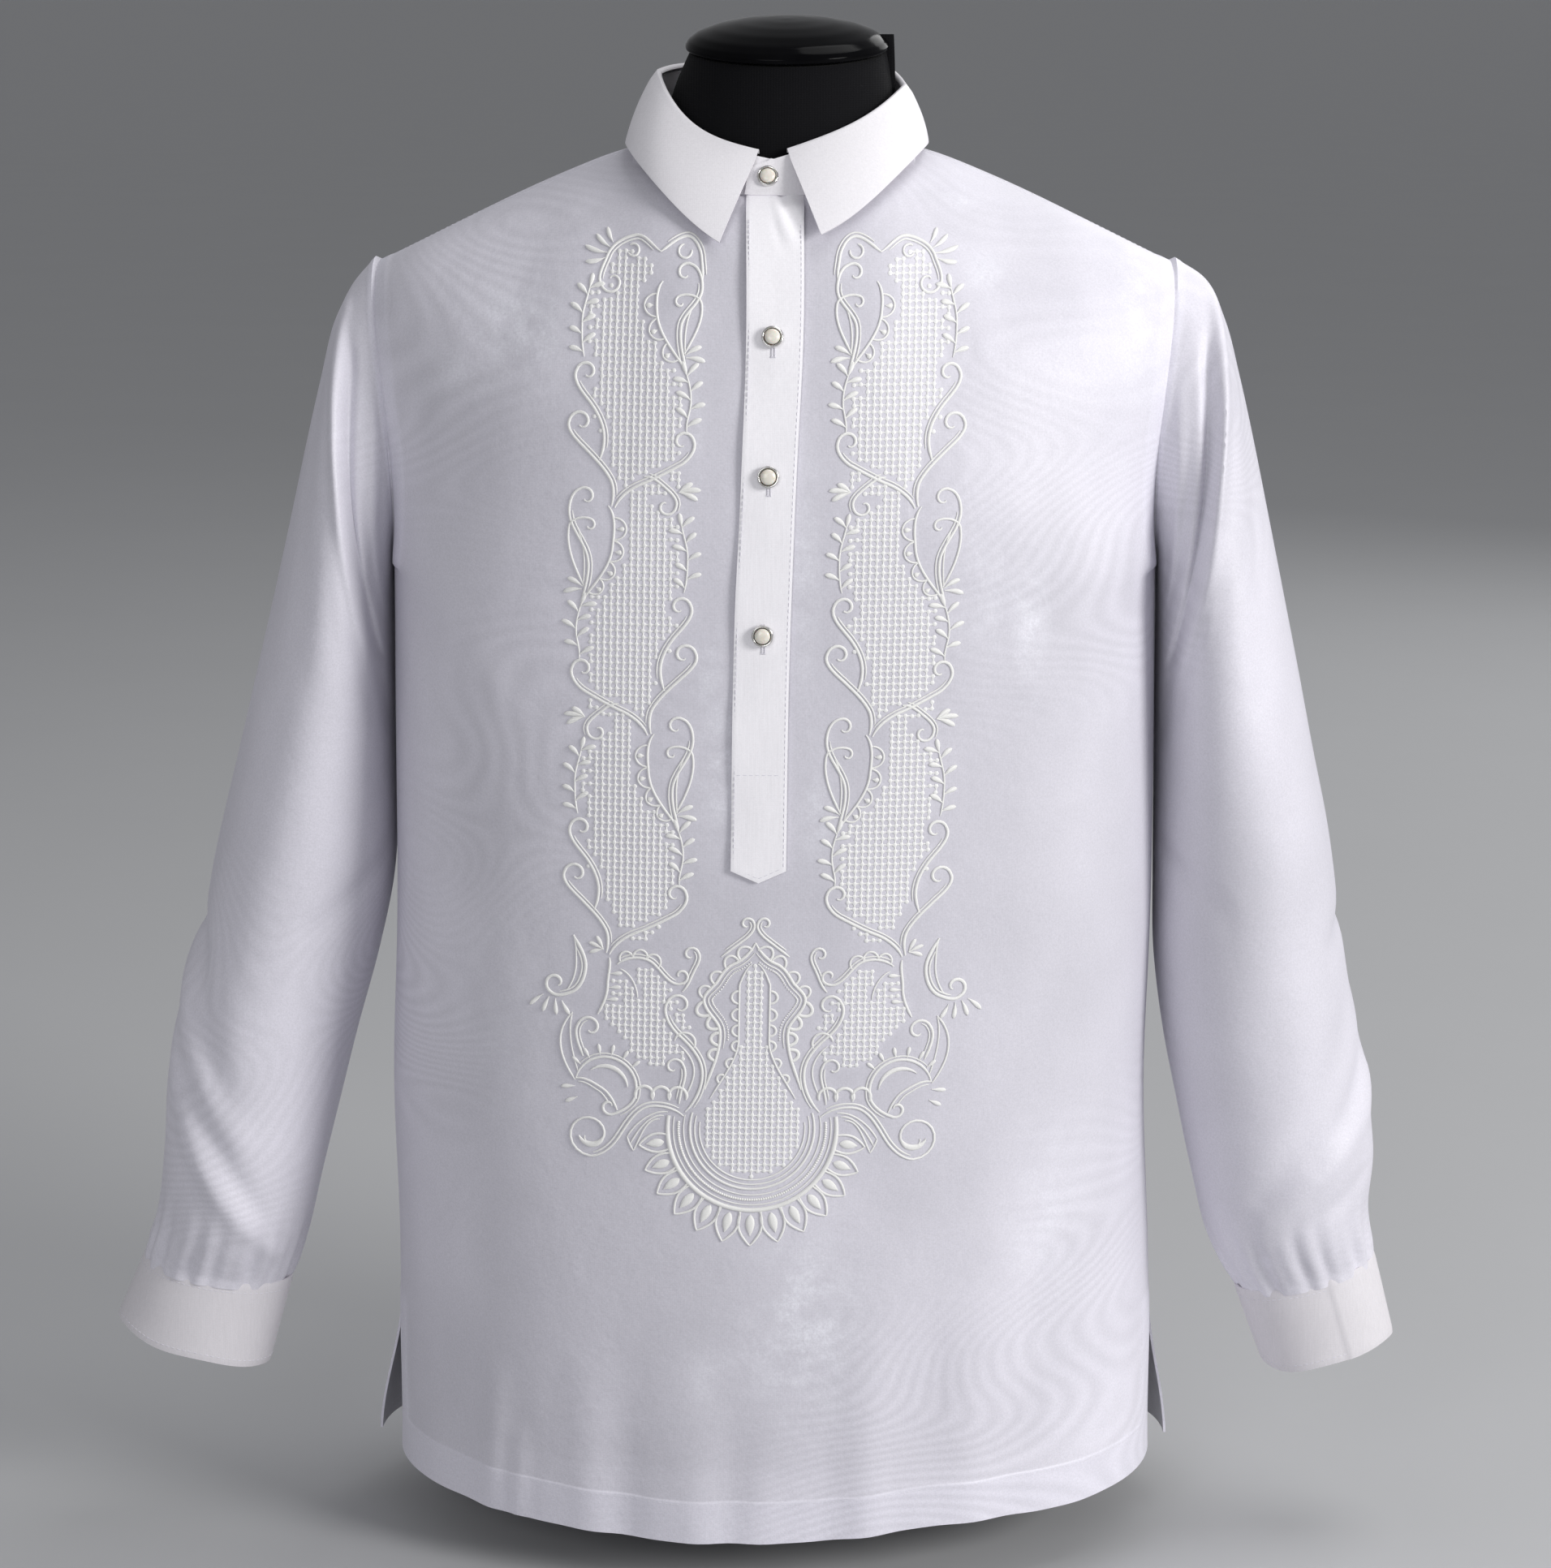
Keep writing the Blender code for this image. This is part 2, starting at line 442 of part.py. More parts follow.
def build_shirt():
    white = (0.86, 0.85, 0.90)
    warm = (0.90, 0.88, 0.90)
    front = panel_grid(-1, 4, 9, 10, 10)
    cloth_piece("front", front, material("front_cloth", white, 0.55, sheen=0.4), CLOTH)
    cloth_piece("back", panel_grid(+1, 4, 9, 9, 10), material("back_cloth", white, 0.55, sheen=0.4), CLOTH)
    for side, arm in ((-1, "right"), (+1, "left")):
        u = np.linspace(0, 1, 21)[:-1]
        v = np.linspace(0, 1, 17)
        cloth_piece("sleeve_" + arm, sleeve_point(side, u[None, :], v[:, None]),
                    material("sleeve_%s_cloth" % arm, white, 0.55, sheen=0.4), CLOTH, wrap=True)
        rows = CUFF_LEFT_ARM if side > 0 else CUFF_RIGHT_ARM
        cuff = tube_point(rows, side, u[None, :], np.linspace(0, 1, 3)[:, None])
        drop = np.array([0, 0, 0.0016])
        cuff = cuff - drop
        cloth_piece("cuff_" + arm, cuff, material("cuff_%s_cloth" % arm, warm, 0.6, sheen=0.3), BAND, wrap=True)
    a = np.linspace(0, 2 * math.pi, 41)[:-1]
    cloth_piece("collar_stand", stand_point(a[None, :], np.linspace(0, 1, 3)[:, None]),
                material("stand_cloth", warm, 0.6, sheen=0.3), BAND, wrap=True)
    s = np.linspace(0, 1, 37)
    v = np.array((-1.0, -0.5, 0.0, 0.08, 0.4, 0.7, 1.0))
    cloth_piece("collar_leaf", leaf_point(s[None, :], v[:, None]),
                material("leaf_cloth", warm, 0.6, sheen=0.3), BAND)
    z = np.concatenate([[0.0], np.linspace(PLACKET_TIP_Z + 0.0075, 0.7790, 15)])
    k = np.array((-1.0, -0.5, 0.0, 0.5, 1.0))
    zz = np.repeat(z[:, None], len(k), axis=1)
    zz[0] = PLACKET_TIP_Z + 0.0068 * np.abs(k)
    zz[1] = np.maximum(zz[1], zz[0] + 0.002)
    xx = placket_mid_x(zz) + PLACKET_HALF * k[None, :]
    strip, _ = on_front(xx, zz, CLOTH / 2 + BAND / 2 + 0.0005 + 0.0011 * ease((zz - 0.69) / 0.06))
    cloth_piece("placket", strip, material("placket_cloth", warm, 0.6, sheen=0.3), BAND)


def turned(name, profile, steps, mat, place, direction):
    """A turned solid: a profile of (radius, height) spun by a Screw modifier, facing along direction."""
    mesh = bpy.data.meshes.new(name)
    mesh.from_pydata([(r, 0.0, h) for r, h in profile], [(i, i + 1) for i in range(len(profile) - 1)], [])
    ob = add_object(name, mesh, mat)
    screw = ob.modifiers.new("turn", "SCREW")
    screw.angle = 2 * math.pi
    screw.steps = steps
    screw.render_steps = steps
    screw.use_merge_vertices = True
    screw.merge_threshold = 1e-5
    screw.use_normal_calculate = True
    from mathutils import Vector
    ob.location = place
    ob.rotation_euler = Vector(direction).to_track_quat("Z", "Y").to_euler()
    return ob


# Button heights up the front, the first on the stand.
BUTTONS = dict(x=(-0.0030, 0.0010, -0.0010, -0.0040), z=(0.7940, 0.7116, 0.6400, 0.5555))
RIM = ((0.0, 0.0), (0.0048, 0.0), (0.0060, 0.0008), (0.0060, 0.0022), (0.0054, 0.0029), (0.0047, 0.0026), (0.0044, 0.0016), (0.0, 0.0016))
PEARL = ((0.0, 0.0), (0.0038, 0.0), (0.0041, 0.0006), (0.0036, 0.0015), (0.0022, 0.0021), (0.0, 0.0024))


def build_buttons():
    for i, (x, z) in enumerate(zip(BUTTONS["x"], BUTTONS["z"])):
        if i == 0:
            a = math.asin(x / SHIRT_CUT["hps_x"])
            p = stand_point(np.array(a), np.array(0.42))
            q = stand_point(np.array(a), np.array(0.52))
            up = (q - p) / np.linalg.norm(q - p)
            n = np.cross(np.array([1.0, 0, 0]), up)
            n /= np.linalg.norm(n)
            base = p + n * (BAND / 2 + 0.0006)
        else:
            base, n = on_front(np.array(x), np.array(z), np.array(CLOTH / 2 + BAND + 0.0013 + 0.0011 * float(ease((z - 0.69) / 0.06))))
        turned("button_%d" % (i + 1), RIM, 20, material("rim_metal_%d" % (i + 1), (0.75, 0.75, 0.76), 0.25, 1.0), base, n)
        turned("pearl_%d" % (i + 1), PEARL, 16, material("pearl_%d_shell" % (i + 1), (0.85, 0.82, 0.74), 0.2, 0.0, 0.0, 0.6),
               base + n * 0.0019, n)


# ---------------------------------------------------------------- dress form
CAP = dict(x=0.0070, y=-0.0040, z=0.8600, radius=0.0565, tilt=math.radians(8.0))
CAP_PROFILE = ((0.0, 0.0), (0.0530, 0.0), (0.0563, 0.0016), (0.0565, 0.0036), (0.0550, 0.0062), (0.0500, 0.0098),
               (0.0400, 0.0134), (0.0270, 0.0160), (0.0130, 0.0174), (0.0, 0.0178))


def build_form():
    black = material("form_black_cloth", (0.012, 0.012, 0.014), 0.8)
    # the columns meet the form's own neck point exactly
    k = FORM_CUT["hps_x"] / FORM_CUT["tip_x"]
    a = np.sin(np.linspace(0, math.pi / 2, 5)) * k
    b = np.sin(np.linspace(math.asin(k ** 1.12), math.pi / 2, 8)) ** (1 / 1.12)
    half = np.concatenate([a, b[1:]])
    xf = np.concatenate([-half[::-1], half[1:]])
    row = np.concatenate([(0.0, 0.045, 0.105), np.linspace(0, 1, 8)[1:] * 0.8 + 0.2, 1 + np.linspace(0, 1, 9)[1:]])
    bm = bmesh.new()

    def grid(points, flip):
        rows, cols = points.shape[:2]
        g = [[bm.verts.new(points[j, i]) for i in range(cols)] for j in range(rows)]
        for j in range(rows - 1):
            for i in range(cols - 1):
                f = (g[j][i], g[j][i + 1], g[j + 1][i + 1], g[j + 1][i])
                bm.faces.new(f[::-1] if flip else f)
        return g

    grid(panel_point(FORM_CUT, -1, xf[None, :], row[:, None]), False)
    grid(panel_point(FORM_CUT, +1, xf[None, :], row[:, None]), True)
    # the neck rises from the neckline to a tilted flat top under the cap
    ang = np.concatenate([np.linspace(0, math.pi / 2, 5), math.pi - np.linspace(0, math.pi / 2, 5)[::-1][1:]])
    ang = np.concatenate([ang, 2 * math.pi - ang[::-1][1:-1]])
    c = np.cos(ang)
    base = np.stack([FORM_CUT["hps_x"] * np.sin(ang),
                     np.where(c > 0, -FORM_CUT["neck_front_y"], -FORM_CUT["neck_back_y"]) * c,
                     FORM_CUT["hps_z"] + np.where(c > 0, -(FORM_CUT["hps_z"] - FORM_CUT["neck_front_z"]) * np.abs(c) ** 1.6,
                                                  (FORM_CUT["neck_back_z"] - FORM_CUT["hps_z"]) * np.abs(c) ** 1.5)], axis=-1)
    tx, ty = np.sin(ang) * 0.0540, -np.cos(ang) * 0.0540
    top = np.stack([CAP["x"] + tx, CAP["y"] + ty * math.cos(CAP["tilt"]),
                    CAP["z"] - 0.0004 + ty * math.sin(CAP["tilt"])], axis=-1)
    rings = []
    for t in (0.0, 0.14, 0.35, 0.65, 1.0):
        pull = -0.0036 * math.sin(math.pi * t)
        p = base * (1 - t) + top * t
        p[:, 0] -= np.sin(ang) * pull
        p[:, 1] += np.cos(ang) * pull
        rings.append([bm.verts.new(q) for q in p])
    n = len(ang)
    for lo, hi in zip(rings[:-1], rings[1:]):
        for i in range(n):
            j = (i + 1) % n
            bm.faces.new((lo[i], lo[j], hi[j], hi[i]))
    bm.faces.new(rings[-1])
    bmesh.ops.remove_doubles(bm, verts=bm.verts, dist=2e-5)
    bmesh.ops.holes_fill(bm, edges=[e for e in bm.edges if e.is_boundary], sides=0)
    bmesh.ops.recalc_face_normals(bm, faces=bm.faces)
    mesh = bpy.data.meshes.new("form_torso")
    bm.to_mesh(mesh)
    bm.free()
    add_object("form_torso", mesh, black)
    tilt = CAP["tilt"]
    turned("form_neck_cap", CAP_PROFILE, 40, material("form_cap_gloss", (0.01, 0.01, 0.011), 0.12, coat=1.0),
           (CAP["x"], CAP["y"], CAP["z"]), (0.0, -math.sin(tilt), math.cos(tilt)))


build_shirt()
build_buttons()
build_form()
bpy.context.view_layer.update()
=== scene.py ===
# Barong tagalog shirt on its limbless dress form: the finished look.
# Metres, +Z up. The front faces -Y and the wearer's left is +X.
# Every cloth piece is worked out by the same functions as the model it stands for, with finer
# rows and more creases. The embroidery is a generic design of the traditional kind, made here
# from scrolls, leaves, petals and a lattice of knots.
import bpy
import json
import math
import numpy as np
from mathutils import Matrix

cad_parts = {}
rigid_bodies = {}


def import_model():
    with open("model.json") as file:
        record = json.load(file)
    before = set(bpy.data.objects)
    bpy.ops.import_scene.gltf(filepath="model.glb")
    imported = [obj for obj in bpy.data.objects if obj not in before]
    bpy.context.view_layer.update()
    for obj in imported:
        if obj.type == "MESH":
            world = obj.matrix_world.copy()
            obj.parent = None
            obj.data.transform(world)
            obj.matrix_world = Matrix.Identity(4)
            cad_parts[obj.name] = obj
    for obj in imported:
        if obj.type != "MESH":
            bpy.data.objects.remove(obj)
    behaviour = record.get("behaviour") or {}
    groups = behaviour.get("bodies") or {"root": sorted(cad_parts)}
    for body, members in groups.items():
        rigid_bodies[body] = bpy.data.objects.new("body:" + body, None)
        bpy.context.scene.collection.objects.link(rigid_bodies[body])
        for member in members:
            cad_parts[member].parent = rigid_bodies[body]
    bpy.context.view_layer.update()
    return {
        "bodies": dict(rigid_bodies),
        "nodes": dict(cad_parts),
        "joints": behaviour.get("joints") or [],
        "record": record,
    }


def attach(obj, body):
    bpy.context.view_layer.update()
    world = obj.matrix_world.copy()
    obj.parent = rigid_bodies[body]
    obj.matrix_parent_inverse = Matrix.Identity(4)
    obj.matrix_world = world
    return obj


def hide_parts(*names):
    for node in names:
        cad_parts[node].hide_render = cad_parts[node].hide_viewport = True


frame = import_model()

# ---------------------------------------------------------------- named sizes
CLOTH = 0.0015           # wall of the single cloth
BAND = 0.0013            # wall of the interfaced bands: collar, cuffs, placket
SEAM = 0.0004            # each side of a seam stops this far from its line
HEM_Z = 0.040            # the hem hangs this far above the surface
UNDERARM_Z = 0.575
VENT_TOP_Z = 0.130       # side vents are open below this
RING_POWER = 2.35        # superellipse power of a body ring
PLACKET_HALF = 0.0150
PLACKET_TIP_Z = 0.4190
BUTTON_R = 0.0060

# The shirt body: half width and depths of the ring at each height.
BODY = dict(
    z=(0.030, 0.110, 0.184, 0.284, 0.390, 0.478, 0.575, 0.640),
    half_width=(0.2270, 0.2238, 0.2218, 0.2200, 0.2186, 0.2178, 0.2165, 0.2165),
    front=(0.1425, 0.1440, 0.1450, 0.1445, 0.1440, 0.1430, 0.1420, 0.1420),
    back=(0.1380, 0.1360, 0.1320, 0.1260, 0.1220, 0.1210, 0.1220, 0.1220),
)
# The dress form inside it, from its flat base up to the underarm.
FORM = dict(
    z=(0.000, 0.025, 0.060, 0.120, 0.200, 0.300, 0.400, 0.478, 0.575, 0.640),
    half_width=(0.1250, 0.1420, 0.1560, 0.1660, 0.1620, 0.1540, 0.1680, 0.1820, 0.1930, 0.1930),
    front=(0.0550, 0.0730, 0.0930, 0.1080, 0.1060, 0.1020, 0.1120, 0.1220, 0.1290, 0.1290),
    back=(0.0820, 0.0930, 0.1030, 0.1110, 0.1000, 0.0880, 0.0960, 0.1060, 0.1110, 0.1110),
)
SHIRT_CUT = dict(
    table=BODY, bottom=HEM_Z, tip_x=0.2235, tip_z=0.7430, hps_x=0.0780, hps_z=0.8068,
    neck_front_y=0.0740, neck_front_z=0.7840, neck_back_y=0.0600, neck_back_z=0.8110,
    arm_half=0.0520, arm_dip=0.0115, seam_y=0.0110)
FORM_CUT = dict(
    table=FORM, bottom=0.0, tip_x=0.2000, tip_z=0.7395, hps_x=0.0620, hps_z=0.8045,
    neck_front_y=0.0580, neck_front_z=0.7840, neck_back_y=0.0500, neck_back_z=0.8070,
    arm_half=0.0440, arm_dip=0.0040, seam_y=0.0100)

# Sleeve sections, from the armhole to the cuff. Each is an ellipse in a tilted plane:
# its outer point, its inner point, its half depth and how far forward its middle lies.
SLEEVE_COLUMNS = ("outer_x", "outer_z", "inner_x", "inner_z", "half_depth", "mid_y")
SLEEVE_RIGHT_ARM = (   # the wearer's right, at -X
    (0.2250, 0.7455, 0.2192, 0.5765, 0.0525, 0.000),
    (0.2380, 0.7305, 0.2194, 0.5600, 0.0590, 0.000),
    (0.2490, 0.7100, 0.2196, 0.5450, 0.0670, 0.001),
    (0.2565, 0.6800, 0.2198, 0.5280, 0.0740, 0.002),
    (0.2650, 0.6450, 0.2200, 0.5120, 0.0800, 0.003),
    (0.2745, 0.6050, 0.2202, 0.4950, 0.0830, 0.004),
    (0.2855, 0.5600, 0.2206, 0.4740, 0.0830, 0.004),
    (0.2970, 0.5150, 0.2209, 0.4500, 0.0810, 0.004),
    (0.3090, 0.4680, 0.2213, 0.4200, 0.0770, 0.003),
    (0.3215, 0.4200, 0.2240, 0.3850, 0.0720, 0.001),
    (0.3335, 0.3700, 0.2335, 0.3420, 0.0680, -0.002),
    (0.3458, 0.3200, 0.2462, 0.2970, 0.0640, -0.006),
    (0.3560, 0.2740, 0.2568, 0.2560, 0.0600, -0.010),
    (0.3592, 0.2300, 0.2668, 0.2170, 0.0560, -0.014),
    (0.3640, 0.1920, 0.2762, 0.1800, 0.0500, -0.017),
    (0.3725, 0.1640, 0.2866, 0.1500, 0.0345, -0.020),
)
SLEEVE_LEFT_ARM = (    # the wearer's left, at +X
    (0.2250, 0.7455, 0.2192, 0.5765, 0.0525, 0.000),
    (0.2430, 0.7330, 0.2194, 0.5600, 0.0590, 0.000),
    (0.2545, 0.7110, 0.2196, 0.5450, 0.0670, 0.001),
    (0.2625, 0.6810, 0.2198, 0.5280, 0.0740, 0.002),
    (0.2710, 0.6450, 0.2200, 0.5120, 0.0800, 0.003),
    (0.2800, 0.6050, 0.2202, 0.4950, 0.0830, 0.004),
    (0.2900, 0.5600, 0.2206, 0.4740, 0.0830, 0.004),
    (0.3000, 0.5150, 0.2209, 0.4500, 0.0810, 0.004),
    (0.3100, 0.4680, 0.2211, 0.4200, 0.0770, 0.003),
    (0.3205, 0.4200, 0.2214, 0.3900, 0.0720, 0.001),
    (0.3282, 0.3700, 0.2225, 0.3460, 0.0680, -0.002),
    (0.3362, 0.3200, 0.2285, 0.3000, 0.0640, -0.006),
    (0.3450, 0.2740, 0.2375, 0.2560, 0.0600, -0.010),
    (0.3515, 0.2300, 0.2460, 0.2170, 0.0560, -0.014),
    (0.3492, 0.1950, 0.2560, 0.1800, 0.0500, -0.017),
    (0.3530, 0.1690, 0.2728, 0.1480, 0.0345, -0.020),
)
# Cuff rings, top and bottom edge, in the same columns.
CUFF_RIGHT_ARM = ((0.3728, 0.1630, 0.2868, 0.1490, 0.0325, -0.0200),
                  (0.3895, 0.1245, 0.3015, 0.0965, 0.0330, -0.0240))
CUFF_LEFT_ARM = ((0.3533, 0.1680, 0.2730, 0.1470, 0.0325, -0.0200),
                 (0.3655, 0.1205, 0.2900, 0.1000, 0.0330, -0.0240))

# Largest folds: a soft ridge (height above 0) or trough (below 0) along a line.
# On a sleeve u is the turn from the inner point over the front, 0 to 1, and v runs
# from armhole (0) to cuff (1). Widths are in metres.
FOLD_COLUMNS = ("u0", "v0", "u1", "v1", "width", "height")
SLEEVE_FOLDS = {
    -1: ((0.36, 0.10, 0.16, 0.33, 0.014, 0.0030), (0.30, 0.16, 0.12, 0.36, 0.012, -0.0030),
         (0.62, 0.12, 0.84, 0.34, 0.011, 0.0035), (0.46, 0.66, 0.28, 0.80, 0.012, -0.0035),
         (0.50, 0.72, 0.22, 0.92, 0.012, 0.0030)),
    +1: ((0.40, 0.09, 0.15, 0.34, 0.014, 0.0034), (0.33, 0.14, 0.11, 0.37, 0.012, -0.0034),
         (0.62, 0.12, 0.84, 0.34, 0.011, 0.0035), (0.62, 0.68, 0.44, 0.82, 0.014, 0.0035),
         (0.42, 0.74, 0.20, 0.88, 0.012, -0.0030)),
}
# On the body u is x and v is z, both in metres.
FRONT_FOLDS = ((-0.165, 0.040, -0.158, 0.120, 0.008, 0.0030), (-0.185, 0.080, -0.178, 0.330, 0.024, -0.0030),
               (0.175, 0.060, 0.185, 0.300, 0.026, -0.0030), (0.120, 0.040, 0.128, 0.200, 0.020, 0.0025),
               (-0.060, 0.040, -0.052, 0.160, 0.026, 0.0022))
BACK_FOLDS = ((-0.120, 0.040, -0.100, 0.480, 0.026, 0.0045), (0.125, 0.040, 0.105, 0.500, 0.028, 0.0045),
              (-0.045, 0.040, -0.030, 0.330, 0.022, -0.0035), (0.050, 0.040, 0.036, 0.360, 0.024, -0.0035))


# The finer creases, in the same columns.
FRONT_CREASES = (
    (-0.1460, 0.036, -0.1440, 0.088, 0.0040, 0.0020), (-0.1120, 0.036, -0.1050, 0.130, 0.0150, 0.0016),
    (-0.0250, 0.036, -0.0200, 0.110, 0.0170, -0.0016), (0.0480, 0.036, 0.0620, 0.200, 0.0190, 0.0024),
    (0.1020, 0.036, 0.1080, 0.170, 0.0140, 0.0020), (0.1420, 0.036, 0.1500, 0.200, 0.0130, -0.0018),
    (-0.1790, 0.040, -0.1700, 0.240, 0.0150, 0.0016), (0.1880, 0.040, 0.1840, 0.260, 0.0140, 0.0016),
    (0.2040, 0.615, 0.1480, 0.520, 0.0100, 0.0020), (0.2060, 0.590, 0.1650, 0.470, 0.0110, -0.0018),
    (-0.2040, 0.615, -0.1500, 0.515, 0.0100, 0.0018), (-0.2060, 0.590, -0.1680, 0.470, 0.0110, -0.0016),
    (0.0800, 0.790, 0.1250, 0.690, 0.0120, 0.0012), (-0.0760, 0.794, -0.1120, 0.764, 0.0050, -0.0014),
    (-0.0940, 0.782, -0.1500, 0.640, 0.0150, 0.0010), (0.1600, 0.760, 0.1900, 0.660, 0.0130, 0.0014),
    (0.0200, 0.400, 0.0320, 0.250, 0.0130, -0.0010), (-0.1500, 0.420, -0.1380, 0.240, 0.0200, 0.0012))
BACK_CREASES = (
    (-0.2000, 0.620, -0.1300, 0.520, 0.0110, 0.0052), (0.2000, 0.620, 0.1280, 0.525, 0.0110, 0.0057),
    (-0.2050, 0.590, -0.1550, 0.450, 0.0120, -0.0043), (0.2050, 0.590, 0.1570, 0.455, 0.0120, -0.0048),
    (-0.0800, 0.036, -0.0740, 0.250, 0.0150, 0.0048), (0.0840, 0.036, 0.0720, 0.300, 0.0160, 0.0057),
    (0.0060, 0.036, 0.0000, 0.420, 0.0170, 0.0052), (0.1500, 0.040, 0.1460, 0.240, 0.0130, -0.0048),
    (-0.1520, 0.040, -0.1460, 0.230, 0.0140, -0.0043), (-0.0600, 0.790, -0.1000, 0.690, 0.0120, 0.0028),
    (0.0620, 0.790, 0.1010, 0.700, 0.0120, 0.0028), (-0.0250, 0.700, 0.0300, 0.640, 0.0140, -0.0028))
SLEEVE_CREASES = {
    -1: ((0.42, 0.080, 0.17, 0.270, 0.0120, 0.0050), (0.34, 0.075, 0.09, 0.260, 0.0110, -0.0062),
         (0.47, 0.110, 0.30, 0.400, 0.0170, -0.0026), (0.26, 0.040, 0.06, 0.150, 0.0100, 0.0022),
         (0.15, 0.170, 0.05, 0.380, 0.0110, -0.0028), (0.59, 0.055, 0.90, 0.085, 0.0080, 0.0042),
         (0.65, 0.025, 0.94, 0.045, 0.0070, -0.0036), (0.55, 0.120, 0.84, 0.210, 0.0090, -0.0032),
         (0.55, 0.665, 0.40, 0.690, 0.0060, -0.0032), (0.50, 0.700, 0.24, 0.830, 0.0090, 0.0030),
         (0.47, 0.740, 0.18, 0.900, 0.0080, -0.0026), (0.36, 0.840, 0.12, 0.960, 0.0080, 0.0022),
         (0.60, 0.680, 0.84, 0.800, 0.0090, 0.0024), (0.70, 0.780, 0.92, 0.920, 0.0090, -0.0024),
         (0.05, 0.560, 0.20, 0.640, 0.0080, -0.0022), (0.96, 0.590, 0.80, 0.660, 0.0080, -0.0020)),
    +1: ((0.43, 0.085, 0.18, 0.280, 0.0110, 0.0056), (0.35, 0.080, 0.10, 0.270, 0.0100, -0.0068),
         (0.48, 0.120, 0.31, 0.430, 0.0160, -0.0030), (0.27, 0.040, 0.06, 0.150, 0.0100, 0.0022),
         (0.14, 0.190, 0.05, 0.400, 0.0110, -0.0026), (0.58, 0.060, 0.90, 0.090, 0.0080, 0.0044),
         (0.64, 0.030, 0.94, 0.050, 0.0070, -0.0038), (0.54, 0.130, 0.85, 0.220, 0.0090, -0.0030),
         (0.54, 0.660, 0.40, 0.680, 0.0070, -0.0030), (0.52, 0.760, 0.30, 0.850, 0.0090, -0.0034),
         (0.48, 0.800, 0.20, 0.900, 0.0080, 0.0026), (0.40, 0.880, 0.14, 0.960, 0.0080, -0.0022),
         (0.61, 0.690, 0.85, 0.810, 0.0090, 0.0024), (0.69, 0.790, 0.92, 0.930, 0.0090, -0.0024),
         (0.05, 0.550, 0.20, 0.630, 0.0080, -0.0020), (0.96, 0.600, 0.80, 0.670, 0.0080, -0.0022)),
}


# ---------------------------------------------------------------- helpers
def ease(t):
    t = np.clip(t, 0.0, 1.0)
    return t * t * (3.0 - 2.0 * t)


def curve_at(xs, ys, x):
    """A smooth curve through the points of a short table."""
    xs, ys, x = np.asarray(xs, float), np.asarray(ys, float), np.asarray(x, float)
    slope = np.gradient(ys, xs)
    i = np.clip(np.searchsorted(xs, x) - 1, 0, len(xs) - 2)
    h = xs[i + 1] - xs[i]
    t = np.clip((x - xs[i]) / h, 0.0, 1.0)
    return ((2 * t**3 - 3 * t**2 + 1) * ys[i] + (t**3 - 2 * t**2 + t) * h * slope[i]
            + (-2 * t**3 + 3 * t**2) * ys[i + 1] + (t**3 - t**2) * h * slope[i + 1])


def fold_height(rows, u, v, u_scale=1.0, v_scale=1.0):
    total = np.zeros(np.broadcast(u, v).shape)
    for u0, v0, u1, v1, width, height in rows:
        du, dv = (u1 - u0) * u_scale, (v1 - v0) * v_scale
        pu, pv = (u - u0) * u_scale, (v - v0) * v_scale
        along = np.clip((pu * du + pv * dv) / (du * du + dv * dv), 0.0, 1.0)
        away = np.hypot(pu - along * du, pv - along * dv)
        total += height * np.exp(-(away / width) ** 2) * (0.35 + 0.65 * np.sin(math.pi * (0.1 + 0.8 * along)))
    return total


# ---------------------------------------------------------------- the body cut
def arch(top_y, top_z, row_y, z0, turn, t):
    """One column from the underarm height over to its top point, which lies at the angle turn of the arch."""
    theta = turn * t ** 1.12
    rise, rise_end = np.sin(theta) ** 0.9, np.sin(turn) ** 0.9
    fall = np.sign(np.cos(theta)) * np.abs(np.cos(theta)) ** 0.8
    fall_end = np.sign(np.cos(turn)) * np.abs(np.cos(turn)) ** 0.8
    ridge_y = (top_y - row_y * fall_end) / (1.0 - fall_end)
    ridge_z = z0 + (top_z - z0) / rise_end
    return ridge_y + (row_y - ridge_y) * fall, z0 + (ridge_z - z0) * rise


